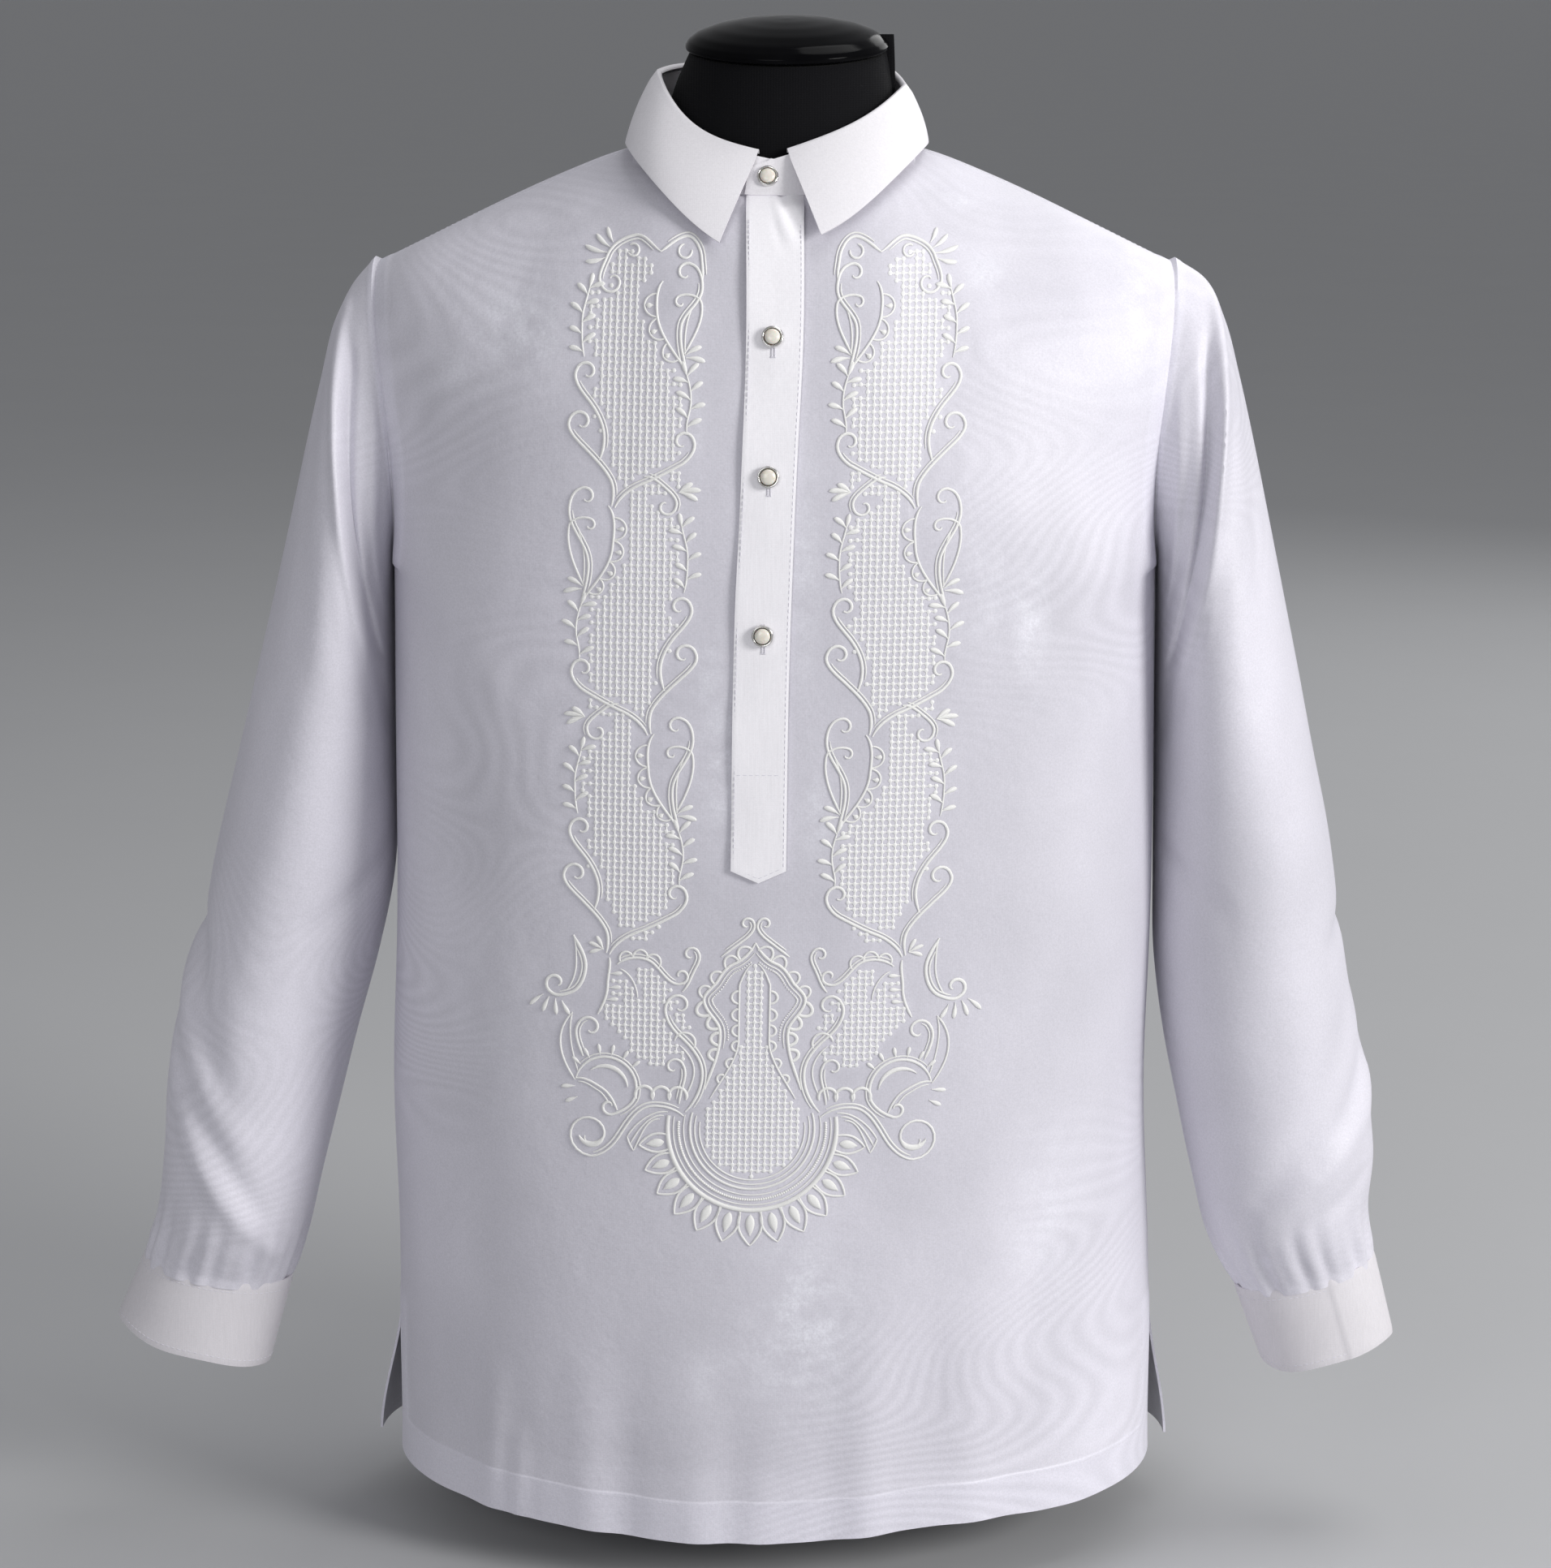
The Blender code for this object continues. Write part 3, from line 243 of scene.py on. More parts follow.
def panel_point(cut, side, xf, row):
    """A point of the front (side -1) or back (side +1) panel.
    xf runs -1..1 across, row 0..1 from hem to underarm and 1..2 from there to the top."""
    xf, row = np.broadcast_arrays(np.asarray(xf, float), np.asarray(row, float))
    table, z0 = cut["table"], UNDERARM_Z
    depth_key = "front" if side < 0 else "back"
    ax = np.abs(xf)
    # below the underarm: a ring of the body at each height
    z_low = cut["bottom"] + (z0 - cut["bottom"]) * np.clip(row, 0.0, 1.0)
    w_low = curve_at(table["z"], table["half_width"], z_low)
    d_low = curve_at(table["z"], table[depth_key], z_low)
    power = RING_POWER - 0.33 * ease((0.36 - z_low) / 0.32)     # the hem hangs nearly as an ellipse
    across = 1.0 - np.clip(ax, 0, 1) ** power
    y_low = side * d_low * np.clip(across, 0, 1) ** (1.0 / power)
    x_low = w_low * xf
    # above it: each column arches over to the neckline or the shoulder seam
    w0 = float(curve_at(table["z"], table["half_width"], z0))
    d0 = float(curve_at(table["z"], table[depth_key], z0))
    xt = ax * cut["tip_x"]
    hps = cut["hps_x"]
    on_neck = xt < hps
    c = np.sqrt(np.clip(1.0 - (np.minimum(xt, hps) / hps) ** 2, 0, 1))
    q = np.clip((xt - hps) / (cut["tip_x"] - hps), 0, 1)
    if side < 0:
        neck_y, neck_z = -cut["neck_front_y"] * c, cut["hps_z"] - (cut["hps_z"] - cut["neck_front_z"]) * c**1.6
        turn = np.radians(65.0 + 17.0 * ease(xt / (hps * 1.25)))
    else:
        neck_y, neck_z = cut["neck_back_y"] * c, cut["hps_z"] + (cut["neck_back_z"] - cut["hps_z"]) * c**1.5
        turn = np.radians(68.0 + 30.0 * ease(xt / (hps * 1.25)))
    seam_y = -cut["seam_y"] * np.sin(math.pi * q) ** 0.7
    seam_z = cut["hps_z"] + (cut["tip_z"] - cut["hps_z"]) * q + 0.002 * np.sin(math.pi * q)
    top_y, top_z = np.where(on_neck, neck_y, seam_y), np.where(on_neck, neck_z, seam_z)
    t = np.clip(row - 1.0, 0.0, 1.0)
    phi = math.pi * t ** 0.72
    edge_y = side * cut["arm_half"] * np.sin(phi)
    frac = (1.0 - np.cos(phi)) / 2.0
    edge_z = z0 + (cut["tip_z"] - z0) * frac
    edge_x = w0 + (cut["tip_x"] - w0) * frac - cut["arm_dip"] * np.sin(phi) ** 2 * (1.0 + np.cos(phi)) / 2.0
    f = ease(np.sin(np.radians(80.0) * t ** 1.12) / 0.40)
    k = 1.0 / RING_POWER + (1.0 / 1.15 - 1.0 / RING_POWER) * f
    profile = np.clip(1.0 - np.clip(ax, 0, 1) ** (RING_POWER + 0.35 * f), 0, 1) ** k
    row_y = edge_y + (side * d0 - edge_y) * profile
    arch_y, arch_z = arch(top_y, top_z, row_y, z0, turn, t)
    end_y, end_z = arch(0.0, cut["tip_z"], edge_y, z0, math.radians(82.0 if side < 0 else 98.0), t)
    near_edge = ease((ax - 0.55) / 0.45)
    y_up = arch_y + (edge_y - end_y) * near_edge
    z_up = arch_z + (edge_z - end_z) * near_edge
    x_up = xf * edge_x
    upper = row > 1.0
    x = np.where(upper, x_up, x_low)
    y = np.where(upper, y_up, y_low)
    z = np.where(upper, z_up, z_low)
    return np.stack([x, y, z], axis=-1)


def shirt_point(side, xf, row):
    """The same panel of the shirt with its side vents and its largest folds."""
    p = panel_point(SHIRT_CUT, side, xf, row)
    x, y, z = p[..., 0].copy(), p[..., 1].copy(), p[..., 2].copy()
    open_vent = ease((VENT_TOP_Z - z) / 0.09)
    at_side = ease((np.abs(x) / 0.225 - 0.70) / 0.30)
    if side < 0:
        y -= 0.0060 * open_vent * at_side
        x -= np.sign(x) * 0.0030 * open_vent * at_side
    else:
        x += np.sign(x) * 0.0090 * open_vent * at_side
        x -= np.where(x < 0, 0.0030, 0.0) * open_vent * at_side
        y += 0.0040 * open_vent * at_side
    folds = fold_height(FRONT_FOLDS if side < 0 else BACK_FOLDS, x, z)
    y += side * folds * (1 - at_side)
    y += side * fold_height(FRONT_CREASES if side < 0 else BACK_CREASES, x, z)
    ripple = 0.0011 * np.sin(x * 61.0 + 0.6) + 0.0008 * np.sin(x * 117.0 + 2.1 * side) + 0.0005 * np.sin(x * 203.0)
    y += ripple * ease((0.17 - z) / 0.15) * (1 - 0.6 * at_side)
    low = ease((0.20 - z) / 0.16)
    if side < 0:                                            # the hem is caught up a little on one side
        z += 0.0060 * np.exp(-((x - 0.090) / 0.060) ** 2) * low
    x -= 0.0035 * np.exp(-((z - 0.270) / 0.075) ** 2)       # the body hangs a little to one side there
    y += side * SEAM * ease((np.abs(xf) - 0.9) / 0.1)
    return np.stack([x, y, z], axis=-1)


def panel_columns(neck_cols, side_cols):
    """Columns of a panel: they meet the neck point exactly and close up at the side."""
    a = np.sin(np.linspace(0, math.pi / 2, neck_cols + 1)) * SHIRT_CUT["hps_x"] / SHIRT_CUT["tip_x"]
    t0 = math.asin(float(a[-1]) ** 1.12)
    b = np.sin(np.linspace(t0, math.pi / 2, side_cols + 1)) ** (1 / 1.12)
    half = np.concatenate([a, b[1:]])
    return np.concatenate([-half[::-1], half[1:]])


def normals_of(points):
    """Unit normals of a grid of points, from its own rows and columns."""
    du = np.gradient(points, axis=1)
    dv = np.gradient(points, axis=0)
    n = np.cross(du, dv)
    return n / np.maximum(np.linalg.norm(n, axis=-1, keepdims=True), 1e-12)


# ---------------------------------------------------------------- sleeves and cuffs
def section_at(rows, v):
    """The section at v (0 armhole, 1 cuff), read smoothly from the table."""
    at = np.linspace(0, 1, len(rows))
    return {name: curve_at(at, [r[i] for r in rows], v) for i, name in enumerate(SLEEVE_COLUMNS)}


def tube_point(rows, side, u, v):
    """u turns from the inner point (0) over the front (0.25) to the outer point (0.5) and round the back."""
    s = section_at(rows, v)
    a = 2 * math.pi * u
    cx, cz = (s["outer_x"] + s["inner_x"]) / 2, (s["outer_z"] + s["inner_z"]) / 2
    rx, rz = (s["outer_x"] - s["inner_x"]) / 2, (s["outer_z"] - s["inner_z"]) / 2
    x = cx - rx * np.cos(a)
    y = s["mid_y"] - s["half_depth"] * np.sin(a)
    z = cz - rz * np.cos(a)
    return np.stack(np.broadcast_arrays(side * x, y, z), axis=-1)


def sleeve_point(side, u, v):
    u, v = np.broadcast_arrays(np.asarray(u, float), np.asarray(v, float))
    rows = SLEEVE_LEFT_ARM if side > 0 else SLEEVE_RIGHT_ARM
    p = tube_point(rows, side, u, v)
    a = 2 * math.pi * u
    dip = SHIRT_CUT["arm_dip"] * np.sin(a) ** 2 * (1 + np.cos(a)) / 2 * ease(1 - v / 0.16)
    p[..., 0] -= side * dip
    # push the folds out along the section's own direction
    s = section_at(rows, v)
    mid = np.stack(np.broadcast_arrays(side * (s["outer_x"] + s["inner_x"]) / 2, s["mid_y"],
                                       (s["outer_z"] + s["inner_z"]) / 2), axis=-1)
    out = p - mid
    out /= np.linalg.norm(out, axis=-1, keepdims=True)
    h = fold_height(SLEEVE_FOLDS[side], u, v, 0.40, 0.62)
    h *= ease((v - 0.03) / 0.08) * ease((0.985 - v) / 0.06) * ease((np.minimum(u, 1 - u) - 0.05) / 0.08)
    c = fold_height(SLEEVE_CREASES[side], u, v, 0.40, 0.62)
    c *= ease((v - 0.004) / 0.03) * ease((0.995 - v) / 0.03) * ease((np.minimum(u, 1 - u) - 0.01) / 0.05)
    g = (0.0010 * np.sin(2 * math.pi * 15 * u + 1.3) + 0.0008 * np.sin(2 * math.pi * 23 * u + 0.4 * side)
         + 0.0006 * np.sin(2 * math.pi * 9 * u + 2.0)) * ease((v - 0.885) / 0.10) * (1 - 0.35 * ease((v - 0.985) / 0.015))
    return p + out * (h + c + g)[..., None]


# ---------------------------------------------------------------- neck band and collar
def neckline(a):
    """The neck seam; a turns from the front (0) towards +X."""
    c = np.cos(a)
    front = c > 0
    y = np.where(front, -SHIRT_CUT["neck_front_y"], -SHIRT_CUT["neck_back_y"]) * c
    drop = (SHIRT_CUT["hps_z"] - SHIRT_CUT["neck_front_z"]) * np.abs(c) ** 1.6
    lift = (SHIRT_CUT["neck_back_z"] - SHIRT_CUT["hps_z"]) * np.abs(c) ** 1.5
    z = SHIRT_CUT["hps_z"] + np.where(front, -drop, lift)
    return np.stack([SHIRT_CUT["hps_x"] * np.sin(a), y, z], axis=-1)


def fold_line(a):
    """The top edge of the stand, where the collar turns over: a V in front, level behind."""
    c, s = np.cos(a), np.abs(np.sin(a))
    front = c > 0
    y = np.where(front, -0.0650, -0.0580) * c
    left = np.sin(a) > 0
    rise = np.where(left, 0.0350 * (0.65 * s + 0.35 * s**4), 0.0430 * (0.35 * s + 0.65 * s**4))
    z = np.where(front, 0.8045 + rise, np.where(left, 0.8395, 0.8475) + np.where(left, 0.0110, 0.0030) * ease(np.abs(c) * 1.4))
    return np.stack([0.0040 * np.clip(1 - 0.8 * c, 0, 1) + 0.0690 * np.sin(a), y, z], axis=-1)


def stand_point(a, v):
    low, high = neckline(a) + np.array([0, 0, 0.0022]), fold_line(a) - np.array([0, 0, 0.0016])
    v = np.asarray(v)[..., None]
    return low * (1 - v) + high * v


COLLAR_FRONT = dict(top_right=6.0, top_left=7.0, point_right=18.0, point_left=20.5)


def leaf_edge(a):
    """The leaf's lower edge, from point to point round the back."""
    c = np.cos(a)
    front = c > 0
    y = np.where(front, -0.1075, -0.0800) * c
    z = np.where(front, 0.8100 - np.where(np.sin(a) > 0, 0.0430, 0.0490) * (np.abs(c) / 0.94) ** 2.4, 0.8100 - 0.0035 * np.abs(c) ** 1.2)
    return np.stack([0.0010 + 0.0822 * np.sin(a), y, z], axis=-1)


def leaf_point(s, v):
    """s runs 0..1 from the +X front edge round the back to the -X front edge.
    v below 0 is the roll over the stand, 0 the fold and 1 the free edge."""
    s, v = np.broadcast_arrays(np.asarray(s, float), np.asarray(v, float))
    top = np.radians(COLLAR_FRONT["top_right"] + (360 - COLLAR_FRONT["top_right"] - COLLAR_FRONT["top_left"]) * s)
    lean_r = math.radians(COLLAR_FRONT["point_right"] - COLLAR_FRONT["top_right"]) * ease(1 - s / 0.22)
    lean_l = math.radians(COLLAR_FRONT["point_left"] - COLLAR_FRONT["top_left"]) * ease(1 - (1 - s) / 0.22)
    down = np.clip(v, 0, 1)
    a_low = top + lean_r - lean_l
    fold, edge = fold_line(top), leaf_edge(a_low)
    p = fold * (1 - down[..., None]) + edge * down[..., None]
    out = np.stack([np.sin(top), -np.cos(top), np.zeros_like(top)], axis=-1)
    # the roll: a small half turn over the stand's top edge
    roll = np.clip(v, -1, 0)
    turn = math.pi * (-roll) * 0.5
    r = 0.0018
    lift = np.where(v < 0, r * np.cos(turn), r * ease(1 - down / 0.10))
    shift = np.where(v < 0, -r * np.sin(turn), r * ease(down / 0.10))
    bulge = 0.0018 * np.sin(math.pi * down) ** 0.8
    p = p + out * (shift + bulge)[..., None]
    p[..., 2] += lift
    return p


# ---------------------------------------------------------------- placket
def placket_mid_x(z):
    return curve_at((0.40, 0.56, 0.64, 0.71, 0.80), (-0.0066, -0.0040, -0.0006, 0.0022, 0.0012), z)


def front_row_at(z):
    """The row of the front panel whose centre lies at height z."""
    rows = np.linspace(0, 2, 801)
    heights = panel_point(SHIRT_CUT, -1, 0.0, rows)[..., 2]
    return np.interp(z, heights, rows)


def on_front(x, z_mid, lift):
    """Points that lie on the front panel near its centre, moved out by lift."""
    row = front_row_at(z_mid)
    width = np.where(row > 1, 0.2165, curve_at(BODY["z"], BODY["half_width"], np.minimum(z_mid, UNDERARM_Z)))
    xf = x / width
    e = 1e-3
    p = shirt_point(-1, xf, row)
    du = shirt_point(-1, xf + e, row) - shirt_point(-1, xf - e, row)
    dv = shirt_point(-1, xf, row + e) - shirt_point(-1, xf, row - e)
    n = np.cross(du, dv)
    n /= np.linalg.norm(n, axis=-1, keepdims=True)
    return p + n * np.asarray(lift)[..., None], n


# ---------------------------------------------------------------- meshes from numbers
def mesh_of(name, verts, face_sets):
    """A mesh from points and a few arrays of faces, each with its own corner count."""
    mesh = bpy.data.meshes.new(name)
    mesh.vertices.add(len(verts))
    mesh.vertices.foreach_set("co", np.asarray(verts, np.float32).ravel())
    sets = [np.asarray(f, np.int32) for f in face_sets if len(f)]
    corners = np.concatenate([f.ravel() for f in sets])
    totals = np.concatenate([np.full(len(f), f.shape[1], np.int32) for f in sets])
    starts = np.concatenate([[0], np.cumsum(totals)[:-1]]).astype(np.int32)
    mesh.loops.add(len(corners))
    mesh.loops.foreach_set("vertex_index", corners)
    mesh.polygons.add(len(totals))
    mesh.polygons.foreach_set("loop_start", starts)
    mesh.polygons.foreach_set("loop_total", totals)
    mesh.update(calc_edges=True)
    mesh.validate()
    return mesh


def volume_sign(verts, face_sets):
    total = 0.0
    for f in face_sets:
        f = np.asarray(f)
        if not len(f):
            continue
        for k in range(1, f.shape[1] - 1):
            a, b, c = verts[f[:, 0]], verts[f[:, k]], verts[f[:, k + 1]]
            total += float(np.einsum("ij,ij->i", a, np.cross(b, c)).sum())
    return total


def closed_object(name, verts, face_sets, mat, crisp=38.0):
    verts = np.asarray(verts, float)
    sets = [np.asarray(f) for f in face_sets if len(f)]
    if volume_sign(verts, sets) < 0:
        sets = [f[:, ::-1] for f in sets]
    mesh = mesh_of(name, verts, sets)
    mesh.materials.append(mat)
    mesh.shade_smooth()
    mesh.set_sharp_from_angle(angle=math.radians(crisp))
    ob = bpy.data.objects.new(name, mesh)
    bpy.context.scene.collection.objects.link(ob)
    return ob


def grid_normals(p, wrap):
    if wrap:
        du = np.roll(p, -1, axis=1) - np.roll(p, 1, axis=1)
    else:
        du = np.gradient(p, axis=1)
    n = np.cross(du, np.gradient(p, axis=0))
    return n / np.maximum(np.linalg.norm(n, axis=-1, keepdims=True), 1e-12)


def shell(name, p, wall, mat, sgn=1.0, wrap=False, raised=0.0):
    """A closed thin shell round a grid of points. raised moves only the outer face."""
    rows, cols = p.shape[:2]
    n = grid_normals(p, wrap) * sgn
    half = np.broadcast_to(np.asarray(wall, float) / 2, (rows, cols))[..., None]
    up = np.broadcast_to(np.asarray(raised, float), (rows, cols))[..., None]
    verts = np.concatenate([(p + n * (half + up)).reshape(-1, 3), (p - n * half).reshape(-1, 3)])
    i = np.arange(rows * cols).reshape(rows, cols)
    j = np.roll(i, -1, axis=1) if wrap else i[:, 1:]
    k = i if wrap else i[:, :-1]
    a, b, c, d = k[:-1], j[:-1], j[1:], k[1:]
    top = np.stack([a, b, c, d], -1).reshape(-1, 4)
    off = rows * cols
    bottom = top[:, ::-1] + off
    rims = []
    for lo, hi in ((k[0], j[0]), (j[-1], k[-1])):
        rims.append(np.stack([hi, lo, lo + off, hi + off], -1))
    if not wrap:
        for lo, hi in ((i[1:, 0], i[:-1, 0]), (i[:-1, -1], i[1:, -1])):
            rims.append(np.stack([hi, lo, lo + off, hi + off], -1))
    return closed_object(name, verts, [np.concatenate([top, bottom] + rims)], mat)


def lathe(name, profile, steps, mat, place, direction):
    from mathutils import Vector
    profile = np.asarray(profile, float)
    ang = np.linspace(0, 2 * math.pi, steps + 1)[:-1]
    inner = profile[1:-1]
    ring = np.stack([inner[:, None, 0] * np.cos(ang), inner[:, None, 0] * np.sin(ang),
                     np.broadcast_to(inner[:, None, 1], (len(inner), steps))], -1)
    verts = np.concatenate([[[0, 0, profile[0, 1]]], ring.reshape(-1, 3), [[0, 0, profile[-1, 1]]]])
    i = 1 + np.arange(len(inner) * steps).reshape(len(inner), steps)
    j = np.roll(i, -1, axis=1)
    quads = np.stack([i[:-1], j[:-1], j[1:], i[1:]], -1).reshape(-1, 4)
    last = len(verts) - 1
    tris = np.concatenate([np.stack([np.zeros(steps, int), j[0], i[0]], -1),
                           np.stack([np.full(steps, last), i[-1], j[-1]], -1)])
    turn = np.array(Vector(direction).to_track_quat("Z", "Y").to_matrix())
    verts = verts @ turn.T + np.asarray(place)
    return closed_object(name, verts, [quads, tris], mat, 50.0)


def smooth_profile(points, per=5):
    """A turned profile with its corners rounded off by a smooth curve."""
    p = np.asarray(points, float)
    at = np.concatenate([[0], np.cumsum(np.linalg.norm(np.diff(p, axis=0), axis=1))])
    t = np.concatenate([np.linspace(a, b, per, endpoint=False) for a, b in zip(at[:-1], at[1:])] + [[at[-1]]])
    q = np.stack([np.interp(t, at, p[:, 0]), np.interp(t, at, p[:, 1])], -1)
    r = q.copy()
    for _ in range(2):
        r[1:-1] = (r[:-2] + 2 * r[1:-1] + r[2:]) / 4
    return r


# ---------------------------------------------------------------- materials
class Nodes:
    def __init__(self, name):
        self.mat = bpy.data.materials.new(name)
        self.mat.use_nodes = True
        self.tree = self.mat.node_tree
        self.bsdf = self.tree.nodes["Principled BSDF"]

    def add(self, kind, **settings):
        node = self.tree.nodes.new("ShaderNode" + kind)
        inputs = settings.pop("inputs", {})
        for k, v in settings.items():
            setattr(node, k, v)
        for k, v in inputs.items():
            if isinstance(v, bpy.types.NodeSocket):
                self.tree.links.new(v, node.inputs[k])
            else:
                node.inputs[k].default_value = v
        return node

    def set(self, **values):
        for k, v in values.items():
            socket = self.bsdf.inputs[k.replace("_", " ")]
            if isinstance(v, bpy.types.NodeSocket):
                self.tree.links.new(v, socket)
            else:
                socket.default_value = (*v, 1.0) if isinstance(v, tuple) and len(v) == 3 and socket.type == "RGBA" else v
        return self.mat

    def math(self, op, a, b=None, clamp=False):
        ins = {0: a}
        if b is not None:
            ins[1] = b
        return self.add("Math", operation=op, use_clamp=clamp, inputs=ins).outputs[0]

    def noise(self, vector, scale, detail=2.0, rough=0.5, distort=0.0):
        return self.add("TexNoise", inputs={"Vector": vector, "Scale": scale, "Detail": detail,
                                            "Roughness": rough, "Distortion": distort}).outputs[0]

    def wave(self, vector, scale, axis="X", distort=0.0, detail=0.0, dscale=1.0):
        return self.add("TexWave", wave_type="BANDS", bands_direction=axis,
                        inputs={"Vector": vector, "Scale": scale, "Distortion": distort,
                                "Detail": detail, "Detail Scale": dscale}).outputs[1]

    def remap(self, value, lo, hi, a, b):
        return self.add("MapRange", clamp=True, inputs={0: value, 1: lo, 2: hi, 3: a, 4: b}).outputs[0]

    def tint(self, colour, factor):
        """colour times a grey factor"""
        mix = self.add("Mix", data_type="RGBA", blend_type="MULTIPLY")
        mix.inputs[0].default_value = 1.0
        if isinstance(colour, bpy.types.NodeSocket):
            self.tree.links.new(colour, mix.inputs[6])
        else:
            mix.inputs[6].default_value = (*colour, 1.0)
        grey = self.add("CombineColor", inputs={0: factor, 1: factor, 2: factor})
        self.tree.links.new(grey.outputs[0], mix.inputs[7])
        return mix.outputs[2]

    def blend(self, factor, a, b):
        mix = self.add("Mix", data_type="RGBA", blend_type="MIX")
        self.tree.links.new(factor, mix.inputs[0])
        for slot, c in ((6, a), (7, b)):
            if isinstance(c, bpy.types.NodeSocket):
                self.tree.links.new(c, mix.inputs[slot])
            else:
                mix.inputs[slot].default_value = (*c, 1.0)
        return mix.outputs[2]

    def bump(self, height, strength, distance, normal=None):
        ins = {"Height": height, "Strength": strength, "Distance": distance}
        if normal is not None:
            ins["Normal"] = normal
        return self.add("Bump", inputs=ins).outputs[0]

    def place(self):
        return self.add("TexCoord").outputs["Object"]

    def stretched(self, vector, scale):
        return self.add("Mapping", inputs={"Vector": vector, "Scale": scale}).outputs[0]


def organza(name, base, shade, grain=(1.0, 1.0, 1.0), field=False):
    """Stiff sheer weave: fine crossed threads, a water-wave figure, satin patches, a faint cast and, on the front, a
    painted sheen: bluish-white highlight spots painted into the colour.
    """
    m = Nodes(name)
    at = m.place()
    patches = m.noise(m.stretched(at, (6.0, 6.0, 3.4)), 1.0, 3.0, 0.55)
    cloud = m.noise(at, 26.0, 4.0, 0.6)
    grains = m.noise(at, 900.0, 2.0, 0.7)
    # the water-wave figure: contour lines of a slow field
    slow = m.noise(m.stretched(at, (3.2, 3.2, 7.5)), 1.0, 1.0, 0.35)
    lines = m.math("SINE", m.math("MULTIPLY", slow, 330.0))
    where = m.remap(m.noise(m.stretched(at, (5.0, 5.0, 4.0)), 1.0, 1.0), 0.46, 0.66, 0.0, 1.0)
    figure = m.math("MULTIPLY", m.math("MULTIPLY", lines, where), 0.042)
    k = m.math("ADD", m.remap(patches, 0.30, 0.70, 0.955, 1.035), figure)
    k = m.math("MULTIPLY", k, m.remap(cloud, 0.2, 0.8, 0.978, 1.018))
    k = m.math("MULTIPLY", k, m.remap(grains, 0.25, 0.75, 0.925, 1.075))
    colour = m.blend(m.remap(patches, 0.35, 0.68, 0.0, 1.0), shade, base)
    double = m.add("Attribute", attribute_name="double").outputs["Fac"]
    veil = m.add("Attribute", attribute_name="veil").outputs["Fac"]
    k = m.math("MULTIPLY", k, m.remap(veil, 0.0, 1.0, 1.0, 0.945))
    colour = m.blend(m.remap(double, 0.0, 1.0, 0.0, 0.6), colour, (0.80, 0.785, 0.87))
    if field:
        mask = m.add("Attribute", attribute_name="openwork").outputs["Fac"]
        k = m.math("MULTIPLY", k, m.remap(mask, 0.0, 1.0, 1.0, 1.06))
        # painted sheen: bluish-white highlight spots painted into the colour, where the two layers together throw back
        # the light
        painted_sheen = m.add("Attribute", attribute_name="painted_sheen").outputs["Fac"]
        blot = m.remap(m.noise(at, 64.0, 4.0, 0.65), 0.40, 0.60, 0.15, 1.0)
        speck = m.remap(m.noise(at, 520.0, 3.0, 0.7), 0.38, 0.62, 0.45, 1.0)
        f = m.math("MULTIPLY", m.math("MULTIPLY", painted_sheen, blot), speck)
        colour = m.blend(m.math("MULTIPLY", f, 0.95), colour, (0.93, 0.93, 1.0))
    across = m.wave(m.stretched(at, (1.0, 0.35, 1.0)), 400.0, "X", 0.6, 1.0, 30.0)
    down = m.wave(at, 360.0, "Z", 0.6, 1.0, 30.0)
    weave = m.math("ADD", across, down)
    wander = m.noise(at, 60.0, 3.0, 0.6)
    n = m.bump(wander, 0.16, 0.0035)
    n = m.bump(grains, 0.10, 0.0004, n)
    n = m.bump(weave, 0.10, 0.00012, n)
    return m.set(Base_Color=m.tint(colour, k), Roughness=m.remap(patches, 0.3, 0.7, 0.58, 0.46), Normal=n,
                 Sheen_Weight=0.22, Sheen_Roughness=0.32, Sheen_Tint=(0.90, 0.89, 1.0),
                 Specular_IOR_Level=0.5)


def band_cloth(name, base, slub=240.0):
    """Doubled, pressed cloth of the collar, cuffs and placket: a plain close weave with slubs along it."""
    m = Nodes(name)
    at = m.place()
    cloud = m.noise(at, 22.0, 4.0, 0.6)
    streaks = m.noise(m.stretched(at, (900.0, 900.0, 60.0)), 1.0, 2.0, 0.6)
    grains = m.noise(at, 1100.0, 2.0, 0.7)
    k = m.math("MULTIPLY", m.remap(cloud, 0.2, 0.8, 0.975, 1.02), m.remap(streaks, 0.25, 0.75, 0.965, 1.03))
    k = m.math("MULTIPLY", k, m.remap(grains, 0.25, 0.75, 0.965, 1.035))
    weave = m.math("ADD", m.wave(at, 420.0, "X", 0.5, 1.0, 40.0), m.wave(at, 420.0, "Z", 0.5, 1.0, 40.0))
    n = m.bump(cloud, 0.10, 0.0030)
    n = m.bump(streaks, 0.12, 0.00025, n)
    n = m.bump(weave, 0.12, 0.00012, n)
    return m.set(Base_Color=m.tint(base, k), Roughness=m.remap(streaks, 0.3, 0.7, 0.66, 0.56), Normal=n,
                 Sheen_Weight=0.18, Sheen_Roughness=0.4, Sheen_Tint=(1.0, 0.98, 1.0), Specular_IOR_Level=0.38)


def thread(name, base):
    """Satin stitch: close threads laid across the stroke."""
    m = Nodes(name)
    along = m.add("Attribute", attribute_name="along").outputs["Fac"]
    at = m.place()
    lay = m.math("SINE", m.math("MULTIPLY", along, 2 * math.pi / 0.00046))
    wisp = m.noise(at, 1500.0, 2.0, 0.7)
    # the colour is made darker in the grooves between the laid threads: painted shade that follows the bump
    k = m.math("MULTIPLY", m.remap(lay, -1.0, 1.0, 0.93, 1.02), m.remap(wisp, 0.2, 0.8, 0.93, 1.05))
    n = m.bump(lay, 0.35, 0.00016)
    n = m.bump(wisp, 0.15, 0.00020, n)
    return m.set(Base_Color=m.tint(base, k), Roughness=m.remap(wisp, 0.2, 0.8, 0.42, 0.32), Normal=n,
                 Sheen_Weight=0.25, Sheen_Roughness=0.3, Specular_IOR_Level=0.55)


